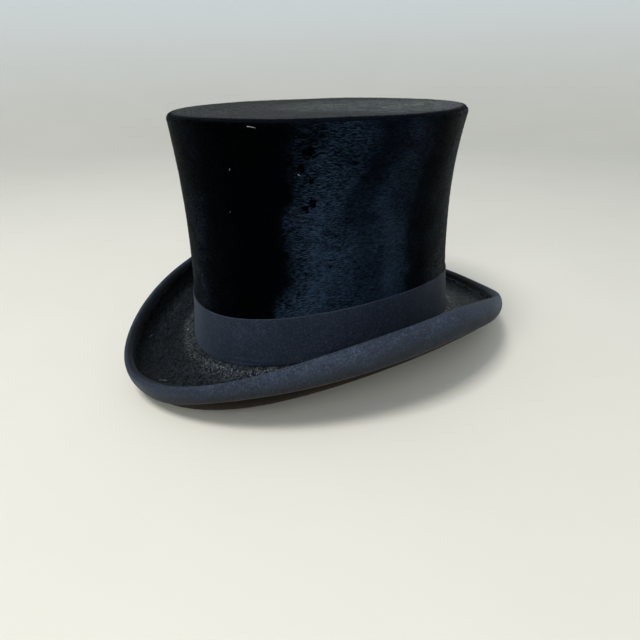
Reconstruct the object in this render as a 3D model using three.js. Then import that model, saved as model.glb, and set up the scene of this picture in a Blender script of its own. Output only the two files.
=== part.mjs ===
// Antique silk top hat with a curled brim, standing on the front and back dips of its brim.
//
// Frame: millimetres, +X to the wearer's front, +Y to the wearer's left, +Z up. The origin lies on
// the surface that the hat stands on, under the middle of its outline.
//
// Every layer is a thin solid that follows one of two surfaces, the crown or the brim, at its own
// depth. All layers share the same steps around and along, so their flat facets stay parallel.

import * as THREE from 'three';
import { mergeVertices } from 'three/addons/utils/BufferGeometryUtils.js';

// ---------------------------------------------------------------- driving dimensions

const DEG = Math.PI / 180;
const STEPS_AROUND = 36;
const GAP = 0.3; // clearance between layers that touch on the real hat
const BRIM_GAP = 0.42; // the same on the brim, where the layers' facets twist
const WALL_GAP = 0.55; // the same where a bow crosses the corners between the crown's facets
const EDGE_GAP = 0.6; // clearance between the layers' edges and the fold of the binding

const CROWN = {
  topHeight: 169.6, // the tip above the standing surface
  footHeight: 23.8, // mean height of the line where crown and brim meet
  footSaddle: 6.9, // that line is this much lower at front and back, and higher at the sides
  waistHalfLength: 99.7,
  waistHalfWidth: 81.9,
  waistShare: 0.557, // height of the waist, as a share of the crown's height
  tipExtraLength: 3.3, // how far the tip's edge stands outside the waist, at front and back
  tipExtraWidth: 9.4, // and at the sides
  flarePower: 2.04,
  footExtra: 5.1, // how far the foot of the crown stands outside the waist
  frontFullness: 0.02, // the front half is this share wider than an ellipse, the back half narrower
  edgeRound: 4, // radius of the tip's edge
};

const BRIM = {
  halfLength: 157,
  halfWidth: 124.5,
  sideRise: 34.3, // height of the brim's underside at the sides, where front and back touch down
  risePower: 2.62,
  frontRoundness: 2, // exponent of the outline's superellipse
  backRoundness: 1.8,
  sideCurl: { radius: 11.1, sweep: 178.6 * DEG },
  frontCurl: { radius: 10.3, sweep: 98 * DEG },
  backCurl: { radius: 20, sweep: 92 * DEG },
  curlPower: 2.37,
  seat: 1.5, // level ledge round the crown that the hat band stands on
};

const THICKNESS = {
  plush: 0.8,
  goss: 1.8, // calico stiffened with shellac, the hat's body
  silk: 0.4,
  cloth: 0.4,
  ribbon: 0.6,
  band: 0.7,
  leather: 1.1,
  tape: 0.4,
};

const BINDING = { underWidth: 17, underSteps: 5, upperSteps: 2 };
const BAND = { topShare: 0.2214 };
const SWEATBAND = { topShare: 0.34, jointGap: 0.5 * DEG, reedRadius: 1.2, reedSides: 8 };
const JOINT_STRIP = { topShare: 0.09 };
const LINING = { bottomShare: 0.1, tipMargin: 8 }; // the margin is the tip lining's part near the side

const BAND_BOW = { angle: 90 * DEG, halfLength: 32, middleHalfHeight: 10, endHalfHeight: 14, plump: 2.2 };
const BAND_KNOT = { halfLength: 6, halfHeight: 12, thickness: 1.2 };
const SWEAT_BOW = { angle: 180 * DEG, halfLength: 15, middleHalfHeight: 2.5, endHalfHeight: 5.5, plump: 1.2 };
const JOINT_TAPE = { angle: 180 * DEG, halfLength: 9, bottomShare: 0.02, topShare: 0.3 };

// Depths of the crown's layers, measured inwards from its outline.
const CROWN_DEPTH = stack(0.5, GAP, {
  plush: THICKNESS.plush,
  goss: THICKNESS.goss,
  lining: THICKNESS.silk,
  tape: THICKNESS.tape,
  leather: THICKNESS.leather,
});

// Depths of the brim's layers, measured upwards from its lowest skin.
const BRIM_DEPTH = stack(0, BRIM_GAP, {
  bindingUnder: THICKNESS.ribbon,
  cloth: THICKNESS.cloth,
  board: THICKNESS.goss,
  plush: THICKNESS.plush,
  bindingUpper: THICKNESS.ribbon,
});

// Shares of the crown's height where its layers have a ring of points.
const BASE_SHARE = -0.018; // just below the brim's top, level with the underside of its board
const FOOT_SHARE = 0.002; // just clear of the brim's top
const SIDE_SHARES = [0.34, CROWN.waistShare, 0.74, 0.88];
const EDGE_SHARE = 1 - CROWN.edgeRound / (CROWN.topHeight - CROWN.footHeight);

const COLOURS = {
  plush: [0x0b0d12, 0.55],
  goss: [0x6b4a2a, 0.8],
  cloth: [0x1d1814, 0.95],
  ribbon: [0x232a38, 0.75],
  leather: [0x6e4526, 0.5],
  silk: [0xb8a88c, 0.4],
};

// ---------------------------------------------------------------- solids from rings of points

/** Places layers one after another with a gap between them, and gives each layer's two depths. */
function stack(start, gap, thicknesses) {
  const depths = {};
  let depth = start;
  for (const [name, thickness] of Object.entries(thicknesses)) {
    depths[name] = [depth, depth + thickness];
    depth += thickness + gap;
  }
  return depths;
}

/** Signed volume of an indexed triangle mesh, positive where its faces point out. */
function signedVolume(position, triangles) {
  const [a, b, c] = [new THREE.Vector3(), new THREE.Vector3(), new THREE.Vector3()];
  let volume = 0;
  for (const [i, j, k] of triangles) {
    a.fromBufferAttribute(position, i);
    b.fromBufferAttribute(position, j);
    c.fromBufferAttribute(position, k);
    volume += a.dot(b.cross(c)) / 6;
  }
  return volume;
}

/** Closed geometry from points and triangles: merges equal points and turns all faces outwards. */
function closedGeometry(points, triangles) {
  const raw = new THREE.BufferGeometry().setFromPoints(points);
  raw.setIndex(triangles.flat());
  const merged = mergeVertices(raw, 1e-4);
  const index = Array.from(merged.index.array);
  const kept = [];
  for (let n = 0; n < index.length; n += 3) {
    const [i, j, k] = index.slice(n, n + 3);
    if (i !== j && j !== k && k !== i) {
      kept.push([i, j, k]);
    }
  }
  const outwards = signedVolume(merged.attributes.position, kept) > 0;
  const turned = outwards ? kept : kept.map(([i, j, k]) => [i, k, j]);
  merged.setIndex(turned.flat());
  merged.computeVertexNormals();
  return merged;
}

/** The two triangles of a four-sided facet, cut from the first corner or from the second one. */
function facet(a, b, c, d, fromSecond) {
  return fromSecond ? [[a, b, d], [b, c, d]] : [[a, b, c], [a, c, d]];
}

/**
 * A sheet with thickness. Each row holds the sheet's outer and inner points at one step, in the
 * same order. A closed sheet joins its last row to its first one; an open one gets two ends.
 */
function sheetSolid(rows, closed) {
  const width = rows[0].outer.length;
  const size = 2 * width;
  const points = rows.flatMap(({ outer, inner }) => [...outer, ...inner.toReversed()]);
  const triangles = [];
  const spans = closed ? rows.length : rows.length - 1;
  for (let row = 0; row < spans; row += 1) {
    const here = row * size;
    const next = ((row + 1) % rows.length) * size;
    for (let k = 0; k < size; k += 1) {
      const m = (k + 1) % size;
      triangles.push(...facet(here + k, next + k, next + m, here + m, k >= width));
    }
  }
  if (!closed) {
    const last = (rows.length - 1) * size;
    for (let k = 0; k < width - 1; k += 1) {
      const [a, b, c, d] = [k, k + 1, size - 2 - k, size - 1 - k];
      triangles.push(...facet(a, b, c, d, false));
      triangles.push(...facet(last + d, last + c, last + b, last + a, false));
    }
  }
  return closedGeometry(points, triangles);
}

function anglesAround() {
  return Array.from({ length: STEPS_AROUND }, (_, step) => (step * 2 * Math.PI) / STEPS_AROUND);
}

function evenSteps(from, to, count) {
  return Array.from({ length: count + 1 }, (_, step) => from + ((to - from) * step) / count);
}

// ---------------------------------------------------------------- the crown's surface

function footHeight(angle) {
  return CROWN.footHeight - CROWN.footSaddle * Math.cos(2 * angle);
}

function crownRadii(share) {
  const above = Math.max((share - CROWN.waistShare) / (1 - CROWN.waistShare), 0);
  const below = Math.max((CROWN.waistShare - Math.max(share, 0)) / CROWN.waistShare, 0);
  const flare = above ** CROWN.flarePower;
  const foot = CROWN.footExtra * below ** 2;
  return {
    length: CROWN.waistHalfLength + CROWN.tipExtraLength * flare + foot,
    width: CROWN.waistHalfWidth + CROWN.tipExtraWidth * flare + foot,
  };
}

/** A point of the crown at a share of its height, set in by a depth from its outline. */
function crownPoint(angle, share, depth) {
  const { length, width } = crownRadii(share);
  const [cos, sin] = [Math.cos(angle), Math.sin(angle)];
  const normal = new THREE.Vector2(width * cos, length * sin).normalize();
  const x = length * cos - depth * normal.x;
  const y = width * sin * (1 + CROWN.frontFullness * cos) - depth * normal.y;
  const z = footHeight(angle) * (1 - share) + CROWN.topHeight * share;
  return new THREE.Vector3(x, y, z);
}

/** The same point on the flat facets that the crown's rings have between their steps. */
function facetPoint(angle, share, depth) {
  const step = (2 * Math.PI) / STEPS_AROUND;
  const first = Math.floor(angle / step + 1e-6) * step;
  const start = crownPoint(first, share, depth);
  return start.lerp(crownPoint(first + step, share, depth), (angle - first) / step);
}

/** Share of the crown's height at a height above its foot. */
function shareAt(angle, rise) {
  return rise / (CROWN.topHeight - footHeight(angle));
}

/** A ring round the crown between two depths, with points at the given shares of its height. */
function crownRing(shares, [outerDepth, innerDepth], angles = anglesAround(), closed = true) {
  const rows = angles.map((angle) => ({
    outer: shares.map((share) => crownPoint(angle, share, outerDepth)),
    inner: shares.map((share) => crownPoint(angle, share, innerDepth)),
  }));
  return sheetSolid(rows, closed);
}

// ---------------------------------------------------------------- the tip

/** A point of the tip, at a depth from the edge's outline and a drop below the top. */
function tipPoint(angle, depth, drop) {
  const edge = crownPoint(angle, 1, depth);
  return new THREE.Vector3(edge.x, edge.y, CROWN.topHeight - drop);
}

/** Points over the tip from its middle to its rounded edge, for a skin this deep under the top. */
function tipLine(angle, depth, tilts) {
  const radius = CROWN.edgeRound - depth;
  const centre = CROWN_DEPTH.plush[0] + CROWN.edgeRound;
  const edge = tilts.map((tilt) =>
    tipPoint(angle, centre - radius * Math.cos(tilt), CROWN.edgeRound - radius * Math.sin(tilt)));
  return [new THREE.Vector3(0, 0, CROWN.topHeight - depth), ...edge];
}

/** The tip's plush: a flat cover that turns down round the edge to meet the side's plush. */
function tipPlush() {
  const tilts = [90, 60, 30, 5].map((tilt) => tilt * DEG);
  const rows = anglesAround().map((angle) => ({
    outer: tipLine(angle, 0, tilts),
    inner: tipLine(angle, THICKNESS.plush, tilts),
  }));
  return sheetSolid(rows, true);
}

/** The goss board under the tip's plush, flat below and rounded over its upper edge. */
function tipBoard() {
  const top = THICKNESS.plush + GAP;
  const bottom = top + THICKNESS.goss;
  const tilts = [90, 60, 35].map((tilt) => tilt * DEG);
  const rows = anglesAround().map((angle) => {
    const outer = tipLine(angle, top, tilts);
    const inner = outer.map((point) => new THREE.Vector3(point.x, point.y, CROWN.topHeight - bottom));
    return { outer, inner };
  });
  return sheetSolid(rows, true);
}

/** The oval lining that covers the board inside the crown. */
function tipLining() {
  const top = THICKNESS.plush + THICKNESS.goss + 2 * GAP;
  const bottom = top + THICKNESS.silk;
  const rings = [CROWN_DEPTH.lining[0] + LINING.tipMargin, CROWN_DEPTH.lining[0]];
  const line = (angle, drop) => [
    new THREE.Vector3(0, 0, CROWN.topHeight - drop),
    ...rings.map((depth) => tipPoint(angle, depth, drop)),
  ];
  const rows = anglesAround().map((angle) => ({ outer: line(angle, top), inner: line(angle, bottom) }));
  return sheetSolid(rows, true);
}

// ---------------------------------------------------------------- the brim's surface

/** Outline of the brim seen from above. */
function rimPoint(angle) {
  const [cos, sin] = [Math.cos(angle), Math.sin(angle)];
  const power = 2 / (cos > 0 ? BRIM.frontRoundness : BRIM.backRoundness);
  return new THREE.Vector2(
    BRIM.halfLength * Math.sign(cos) * Math.abs(cos) ** power,
    BRIM.halfWidth * Math.sign(sin) * Math.abs(sin) ** power);
}

/** Radius and sweep of the curl, which turns from the front's or back's to the sides'. */
function curlAt(angle) {
  const end = Math.cos(angle) > 0 ? BRIM.frontCurl : BRIM.backCurl;
  const side = Math.abs(Math.sin(angle)) ** BRIM.curlPower;
  return {
    radius: THREE.MathUtils.lerp(end.radius, BRIM.sideCurl.radius, side),
    sweep: THREE.MathUtils.lerp(end.sweep, BRIM.sideCurl.sweep, side),
  };
}

/** Height of the brim's lowest skin where the curl begins. The cloth alone touches at the back. */
function undersideHeight(angle) {
  const rise = BRIM.sideRise * Math.abs(Math.sin(angle)) ** BRIM.risePower;
  const back = Math.max(-Math.cos(angle), 0) ** 2;
  return rise - BRIM_DEPTH.cloth[0] * back;
}

/** Distances from the rim, along the brim, where its layers have a row of points. */
function brimStations(whole) {
  const bound = evenSteps(0, BINDING.underWidth, BINDING.underSteps);
  const beyond = [BINDING.underWidth + 6, BINDING.underWidth + 12];
  const rest = [0.35, 0.7, 1].map((share) => THREE.MathUtils.lerp(beyond[1], whole, share));
  return [...bound, ...beyond, ...rest];
}

/**
 * The brim cut upright through one angle: its lowest skin as points (distance out from the
 * crown's foot, height), from the ledge round the crown to the rim's edge.
 */
function brimSection(angle) {
  const foot = crownPoint(angle, 0, 0);
  const start = new THREE.Vector2(foot.x, foot.y);
  const outward = rimPoint(angle).sub(start);
  const reach = outward.length();
  outward.normalize();

  const { radius, sweep } = curlAt(angle);
  const curlStart = reach - radius * Math.sin(Math.min(sweep, Math.PI / 2));
  const curlLength = radius * sweep;
  const flat = curlStart - BRIM.seat;
  const low = undersideHeight(angle);
  const ledge = foot.z - BRIM_DEPTH.plush[1];

  const pointAt = (fromRim) => {
    if (fromRim < curlLength) {
      const turn = sweep - fromRim / radius;
      return new THREE.Vector2(curlStart + radius * Math.sin(turn), low + radius * (1 - Math.cos(turn)));
    }
    const out = 1 - (fromRim - curlLength) / flat;
    return new THREE.Vector2(BRIM.seat + flat * out, ledge + (low - ledge) * Math.sin((out * Math.PI) / 2));
  };
  const line = brimStations(curlLength + flat).reverse().map(pointAt);
  return { start, outward, ledge, line, pointAt };
}

/** Moves a line of points to its left by a distance, keeping its straight pieces parallel. */
function offsetLine(line, distance) {
  const normals = line.slice(1).map((point, n) => {
    const along = point.clone().sub(line[n]).normalize();
    return new THREE.Vector2(-along.y, along.x);
  });
  return line.map((point, n) => {
    const before = normals[Math.max(n - 1, 0)];
    const after = normals[Math.min(n, normals.length - 1)];
    const mitre = before.clone().add(after).normalize();
    return point.clone().addScaledVector(mitre, distance / mitre.dot(before));
  });
}

function toSpace(section, point) {
  const flat = section.start.clone().addScaledVector(section.outward, point.x);
  return new THREE.Vector3(flat.x, flat.y, point.y);
}

/** A layer of the brim between two depths, from its inner edge to just inside the binding. */
function brimLayer([lowerDepth, upperDepth], innerEdge) {
  const rows = anglesAround().map((angle) => {
    const section = brimSection(angle);
    const edge = section.pointAt(THICKNESS.ribbon + EDGE_GAP);
    const line = [new THREE.Vector2(innerEdge, section.ledge), ...section.line.slice(0, -1), edge];
    return {
      outer: offsetLine(line, lowerDepth).map((point) => toSpace(section, point)),
      inner: offsetLine(line, upperDepth).map((point) => toSpace(section, point)),
    };
  });
  return sheetSolid(rows, true);
}

/** The ribbon folded over the rim: its wide half lies under the brim, its narrow half on top. */
function brimBinding() {
  const rows = anglesAround().map((angle) => {
    const section = brimSection(angle);
    const under = section.line.slice(-1 - BINDING.underSteps);
    const inside = [...under.slice(0, -1), section.pointAt(THICKNESS.ribbon)];
    const upper = (line, depth) => offsetLine(line, depth).slice(-1 - BINDING.upperSteps).reverse();
    const outer = [...under, ...upper(under, BRIM_DEPTH.bindingUpper[1])];
    const inner = [
      ...offsetLine(inside, BRIM_DEPTH.bindingUnder[1]),
      ...upper(inside, BRIM_DEPTH.bindingUpper[0]),
    ];
    return {
      outer: outer.map((point) => toSpace(section, point)),
      inner: inner.map((point) => toSpace(section, point)),
    };
  });
  return sheetSolid(rows, true);
}

// ---------------------------------------------------------------- ribbon, leather and bows

/** The reed in the sweatband's lower edge, a thin rod bent round the head opening. */
function sweatbandReed() {
  const { reedRadius, reedSides } = SWEATBAND;
  const depth = (CROWN_DEPTH.leather[0] + CROWN_DEPTH.leather[1]) / 2;
  const share = BASE_SHARE - shareAt(0, reedRadius + GAP);
  const turns = Array.from({ length: reedSides / 2 }, (_, n) => ((n + 0.5) * 2 * Math.PI) / reedSides);
  const rows = anglesAround().map((angle) => {
    const at = (turn) => {
      const point = crownPoint(angle, share, depth - reedRadius * Math.sin(turn));
      point.z += reedRadius * Math.cos(turn);
      return point;
    };
    return { outer: turns.map((turn) => at(turn)), inner: turns.map((turn) => at(-turn)) };
  });
  return sheetSolid(rows, true);
}

/** The leather band inside the crown, open where its two ends meet at the back. */
function sweatband() {
  const shares = [BASE_SHARE, LINING.bottomShare, BAND.topShare, SWEATBAND.topShare];
  const ends = [-Math.PI + SWEATBAND.jointGap, Math.PI - SWEATBAND.jointGap];
  const between = evenSteps(-Math.PI, Math.PI, STEPS_AROUND).slice(1, -1);
  return crownRing(shares, CROWN_DEPTH.leather, [ends[0], ...between, ends[1]], false);
}

/** Angle round the crown at a distance along the ribbon from an angle on one of its axes. */
function angleAlong(centre, distance) {
  const { length, width } = crownRadii(BAND.topShare / 2);
  const reach = Math.abs(Math.sin(centre)) > 0.5 ? length : width;
  return centre + distance / reach;
}

/**
 * A flat bow or a strip on the crown's wall: half its height and its thickness follow the distance
 * along it. A direction of 1 builds it inwards from its depth, and -1 outwards.
 */
function wallPiece({ angle, halfLength, steps, depth, direction, middleRise, halfHeight, thickness }) {
  const rows = evenSteps(-halfLength, halfLength, steps).map((along) => {
    const at = angleAlong(angle, along);
    const rises = [-1, 0, 1].map((side) => middleRise + side * halfHeight(along));
    const reach = direction * thickness(along);
    return {
      outer: rises.map((rise) => facetPoint(at, shareAt(at, rise), depth)),
      inner: rises.map((rise) => facetPoint(at, shareAt(at, rise), depth + reach)),
    };
  });
  return sheetSolid(rows, false);
}

/** Half height of a bow, narrow in the middle and wide at both ends. */
function bowHalfHeight({ middleHalfHeight, endHalfHeight, halfLength }) {
  return (along) => THREE.MathUtils.lerp(middleHalfHeight, endHalfHeight, Math.abs(along) / halfLength);
}

/** Thickness of a bow: two plump loops, flat in the middle and at both ends. */
function bowThickness({ plump, halfLength }) {
  return (along) => THICKNESS.ribbon * 2 + plump * Math.sin((Math.PI * Math.abs(along)) / halfLength);
}

const bandOutside = CROWN_DEPTH.plush[0] - GAP - THICKNESS.band;
const bandMiddle = (BAND.topShare * (CROWN.topHeight - footHeight(BAND_BOW.angle))) / 2;

function bandBowLoops() {
  return wallPiece({
    ...BAND_BOW,
    steps: 12,
    depth: bandOutside - WALL_GAP,
    direction: -1,
    middleRise: bandMiddle,
    halfHeight: bowHalfHeight(BAND_BOW),
    thickness: bowThickness(BAND_BOW),
  });
}

function bandBowKnot() {
  const highest = bowThickness(BAND_BOW)(BAND_KNOT.halfLength);
  return wallPiece({
    angle: BAND_BOW.angle,
    halfLength: BAND_KNOT.halfLength,
    steps: 2,
    depth: bandOutside - WALL_GAP - highest - GAP,
    direction: -1,
    middleRise: bandMiddle,
    halfHeight: () => BAND_KNOT.halfHeight,
    thickness: () => BAND_KNOT.thickness,
  });
}

function sweatbandBow() {
  return wallPiece({
    ...SWEAT_BOW,
    steps: 8,
    depth: CROWN_DEPTH.leather[1] + WALL_GAP,
    direction: 1,
    middleRise: SWEAT_BOW.endHalfHeight + 2,
    halfHeight: bowHalfHeight(SWEAT_BOW),
    thickness: bowThickness(SWEAT_BOW),
  });
}

function sweatbandJointTape() {
  const wall = CROWN.topHeight - footHeight(JOINT_TAPE.angle);
  const half = ((JOINT_TAPE.topShare - JOINT_TAPE.bottomShare) * wall) / 2;
  return wallPiece({
    ...JOINT_TAPE,
    steps: 4,
    depth: CROWN_DEPTH.tape[0],
    direction: 1,
    middleRise: JOINT_TAPE.bottomShare * wall + half,
    halfHeight: () => half,
    thickness: () => THICKNESS.tape,
  });
}

// ---------------------------------------------------------------- the hat

function piece(name, geometry, finish) {
  const [color, roughness] = COLOURS[finish];
  const material = new THREE.MeshStandardMaterial({ color, roughness, metalness: 0 });
  const mesh = new THREE.Mesh(geometry, material);
  mesh.name = name;
  return mesh;
}

const plushShares = [FOOT_SHARE, LINING.bottomShare, BAND.topShare, ...SIDE_SHARES, EDGE_SHARE];
const shellShares = [BASE_SHARE, LINING.bottomShare, BAND.topShare, ...SIDE_SHARES, EDGE_SHARE];
const liningShares = [LINING.bottomShare, BAND.topShare, ...SIDE_SHARES, EDGE_SHARE];
const bandShares = [FOOT_SHARE, LINING.bottomShare, BAND.topShare];
const bandDepths = [bandOutside, CROWN_DEPTH.plush[0] - GAP];
const shellInside = CROWN_DEPTH.goss[0] - GAP;
const clothInnerEdge = -3.2; // the under cloth passes below the crown's shell, up to the reed

const crown = new THREE.Group();
crown.add(
  piece('crown_side_shell', crownRing(shellShares, CROWN_DEPTH.goss), 'goss'),
  piece('crown_side_plush', crownRing(plushShares, CROWN_DEPTH.plush), 'plush'),
  piece('crown_tip_board', tipBoard(), 'goss'),
  piece('crown_tip_plush', tipPlush(), 'plush'),
  piece('joint_strip', crownRing([BASE_SHARE, JOINT_STRIP.topShare], CROWN_DEPTH.lining), 'goss'),
);

const brim = new THREE.Group();
brim.add(
  piece('brim_board', brimLayer(BRIM_DEPTH.board, -shellInside), 'goss'),
  piece('brim_top_plush', brimLayer(BRIM_DEPTH.plush, -shellInside), 'plush'),
  piece('brim_under_cloth', brimLayer(BRIM_DEPTH.cloth, clothInnerEdge), 'cloth'),
  piece('brim_binding', brimBinding(), 'ribbon'),
);

const trim = new THREE.Group();
trim.add(
  piece('hat_band', crownRing(bandShares, bandDepths), 'ribbon'),
  piece('band_bow_loops', bandBowLoops(), 'ribbon'),
  piece('band_bow_knot', bandBowKnot(), 'ribbon'),
);

const inside = new THREE.Group();
inside.add(
  piece('side_lining', crownRing(liningShares, CROWN_DEPTH.lining), 'silk'),
  piece('tip_lining', tipLining(), 'silk'),
  piece('sweatband', sweatband(), 'leather'),
  piece('sweatband_reed', sweatbandReed(), 'leather'),
  piece('sweatband_joint_tape', sweatbandJointTape(), 'cloth'),
  piece('sweatband_bow', sweatbandBow(), 'ribbon'),
);

const topHat = new THREE.Group();
topHat.name = 'top_hat';
topHat.add(crown, brim, trim, inside);

export default topHat;
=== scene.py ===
"""Looks for the antique silk top hat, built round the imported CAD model.

Lengths in this file are millimetres unless a name says otherwise, and meshes are made in metres.
The hat's frame is the CAD's: +X to the wearer's front, +Y to the wearer's left, +Z up.
"""

import math
from contextlib import contextmanager
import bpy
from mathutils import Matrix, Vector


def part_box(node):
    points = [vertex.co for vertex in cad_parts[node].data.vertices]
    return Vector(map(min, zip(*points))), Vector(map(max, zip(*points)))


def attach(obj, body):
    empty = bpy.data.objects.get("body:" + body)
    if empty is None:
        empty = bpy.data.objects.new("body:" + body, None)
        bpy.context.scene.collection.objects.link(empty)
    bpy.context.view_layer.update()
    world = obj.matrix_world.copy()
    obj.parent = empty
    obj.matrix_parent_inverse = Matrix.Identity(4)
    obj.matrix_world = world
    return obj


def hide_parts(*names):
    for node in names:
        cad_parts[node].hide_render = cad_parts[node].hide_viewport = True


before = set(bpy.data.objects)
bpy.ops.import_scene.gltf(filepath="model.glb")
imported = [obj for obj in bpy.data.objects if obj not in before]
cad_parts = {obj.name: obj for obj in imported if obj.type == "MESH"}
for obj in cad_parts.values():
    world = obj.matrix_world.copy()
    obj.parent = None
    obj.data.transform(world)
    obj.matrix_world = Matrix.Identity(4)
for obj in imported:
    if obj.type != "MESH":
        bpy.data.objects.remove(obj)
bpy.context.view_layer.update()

from types import SimpleNamespace

import bmesh
import bpy
import numpy as np
from mathutils import Matrix, Vector

# ---- driving dimensions

METRE = 0.001  # metres in a millimetre
TAU = 2 * math.pi

AROUND = 420  # steps round the hat
CROWN_AROUND = 520

CROWN_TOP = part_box("crown_tip_plush")[1].z / METRE
CROWN_FOOT = 23.8  # mean height of the line where crown and brim meet
FOOT_SADDLE = 6.9  # it is this much lower at front and back, and higher at the sides
WAIST_HALF_LENGTH = 99.7
WAIST_HALF_WIDTH = 81.9
WAIST_SHARE = 0.557  # height of the waist, as a share of the crown's height
TIP_EXTRA_LENGTH = 3.3
TIP_EXTRA_WIDTH = 9.4
FLARE_POWER = 2.04
FOOT_EXTRA = 5.1
FRONT_FULLNESS = 0.02
EDGE_ROUND = 4.0  # radius of the tip's edge

BRIM_HALF_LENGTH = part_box("brim_binding")[1].x / METRE
BRIM_HALF_WIDTH = 124.5
SIDE_RISE = 34.3
RISE_POWER = 2.62
FRONT_ROUNDNESS = 2.0
BACK_ROUNDNESS = 1.8
SIDE_CURL = (11.1, math.radians(178.6))  # radius and sweep of the curl
FRONT_CURL = (10.3, math.radians(98))
BACK_CURL = (20.0, math.radians(92))
CURL_POWER = 2.37
SEAT = 1.5  # level ledge round the crown's foot

# Depths of the layers, inwards from the crown's outline and upwards from the brim's lowest skin.
BAND_FACE = -0.5
BAND_BACK = 0.2
PLUSH_FACE = 0.4
PLUSH_BACK = 1.3
LINING_BACK = 3.75
LINING_FACE = 4.1
LEATHER_BACK = 5.15
LEATHER_FACE = 6.2
BINDING_BACK = 0.6
CLOTH_FACE = 1.0
CLOTH_BACK = 1.42
BRIM_PLUSH_BACK = 4.06
BRIM_PLUSH_FACE = 4.9
BINDING_TOP_BACK = 5.2
BINDING_TOP_FACE = 5.75

BINDING_UNDER = 19.6  # the binding's width below the rim
BINDING_OVER = 7.0  # and above it
BAND_TOP_SHARE = 0.2214
SWEATBAND_TOP_SHARE = 0.34
LINING_BOTTOM_SHARE = 0.1

# Details that only the visual model has.
FOOT_SHARE = 0.003  # the side's plush and the band start at this share of the crown's height
BASE_SHARE = -0.018  # the sweatband reaches down to this one
PLUSH_THICK = PLUSH_BACK - PLUSH_FACE
LEAN_FROM = 0.97  # from this share of its height up, the side's lean is measured
EDGE_SEAM = 0.46  # where round the tip's edge the side's plush meets the tip's
BRIM_SHEET_START = 1.2  # the brim's cloths stop this far inside the rim's edge
BAND_AROUND = 900
BINDING_AROUND = 640
# Where the binding is narrower below: the angle, how far each way (radians) and by how much (mm).
BINDING_PULL = (math.radians(-149), 0.44, 9.2)
BINDING_FOLD = 0.66  # share across the binding where it has turned over the rim
FOLD_REACH = 0.55  # how far the folded binding stands out past the rim, as a share of its half height
CROWN_WISPS = 11000
EDGE_WISPS = 2200
TIP_WISPS = 7000
BRIM_WISPS = 10000
LINT_COUNT = 2400
LINT_AT_RIM = 0.55  # share of the lint that lies beside the binding
HAIR_HALF_WIDTH = (0.22, 0.30)
FIBRE_BENDS = (-0.35, 0.35)  # how far a fibre bends sideways, as a share of its length
FIBRE_STATIONS = (0.0, 0.36, 0.72)  # shares of a fibre's length where it has a ring of points

# Long pale hairs: angle and heading in degrees, distance from the rim (or height on the crown) and
# length in millimetres, and whether it lies on the crown.
LONG_HAIRS = (
    (-163, 21, 12, 9.0, False), (-171, 16, -35, 6.5, False), (178, 30, 64, 7.0, False),
    (-150, 30, -12, 8.0, False), (-145, 166.3, 0, 5.5, True), (-153, 143.6, 70, 1.4, True),
    (-155, 120, 20, 1.2, True), (-129, 142, -20, 1.5, True), (40, 30, 25, 8.0, False),
    (150, 24, -40, 6.0, False),
)

# Creases at the band's foot: angle of the middle and how far each way, in radians.
CREASES = ((math.radians(-152), 0.26), (math.radians(-118), 0.10), (math.radians(38), 0.16))
CREASE_SIZE = 0.26
CREASE_PITCH = 4.2
CREASE_RISE = 3.5  # the creases are deepest at this height above the band's foot
CREASE_REACH = 3.2

SWEATBAND_JOINT = math.radians(0.5)
REED_RADIUS = 1.15
REED_SHARE = -0.0278
REED_STITCHES = 230
UPWARDS = np.array([0.0, 0.0, 1.0])
TIP_PLEATS = 96
LINING_TIP_TOP = 166.4
JOINT_TAPE_HALF = 9.0
TAPE_BACK = 4.4
TAPE_FACE = 4.8

# The two bows: where they are sewn, and the sizes of their loops, ribbon and knot.
BAND_BOW = SimpleNamespace(
    angle=math.pi / 2, wall_radius=104.0, depth=-1.05, outward=1,
    middle_rise=BAND_TOP_SHARE * (CROWN_TOP - CROWN_FOOT - FOOT_SADDLE) / 2, half_length=32.0,
    middle_half=10.0, end_half=14.0, ribbon=0.5, fold=0.55, plump=1.9, wave=0.28, knot_half=6.0,
    knot_height=12.0, knot_reach=4.0,
)
INNER_BOW = SimpleNamespace(
    angle=math.pi, wall_radius=87.0, depth=6.75, outward=-1, middle_rise=7.5, half_length=15.0,
    middle_half=2.5, end_half=5.5, ribbon=0.3, fold=0.35, plump=1.0, wave=0.12, knot_half=2.2,
    knot_height=3.0, knot_reach=2.1,
)

# ---- surfaces of the hat


def signed(angle):
    """The same angle between half a turn back and half a turn on."""
    return (angle + math.pi) % TAU - math.pi


def foot_height(angle):
    """Height of the line where crown and brim meet."""
    return CROWN_FOOT - FOOT_SADDLE * np.cos(2 * angle)


def height_at(angle, share):
    """Height at a share of the way from the crown's foot to its top."""
    return foot_height(angle) * (1 - share) + CROWN_TOP * share


def crown_point(angle, share, depth):
    """Points of the crown at a share of its height, set in by a depth from its outline."""
    angle, share, depth = np.broadcast_arrays(angle, share, depth)
    flare = np.clip((share - WAIST_SHARE) / (1 - WAIST_SHARE), 0, None) ** FLARE_POWER
    foot = FOOT_EXTRA * (np.clip(WAIST_SHARE - np.clip(share, 0, None), 0, None) / WAIST_SHARE) ** 2
    length = WAIST_HALF_LENGTH + TIP_EXTRA_LENGTH * flare + foot
    width = WAIST_HALF_WIDTH + TIP_EXTRA_WIDTH * flare + foot
    cos, sin = np.cos(angle), np.sin(angle)
    size = np.hypot(width * cos, length * sin)
    x = length * cos - depth * width * cos / size
    y = width * sin * (1 + FRONT_FULLNESS * cos) - depth * length * sin / size
    return np.stack([x, y, height_at(angle, share)], -1)


def share_at(angle, rise):
    """Share of the crown's height at a height above its foot."""
    return rise / (CROWN_TOP - foot_height(angle))


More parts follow.
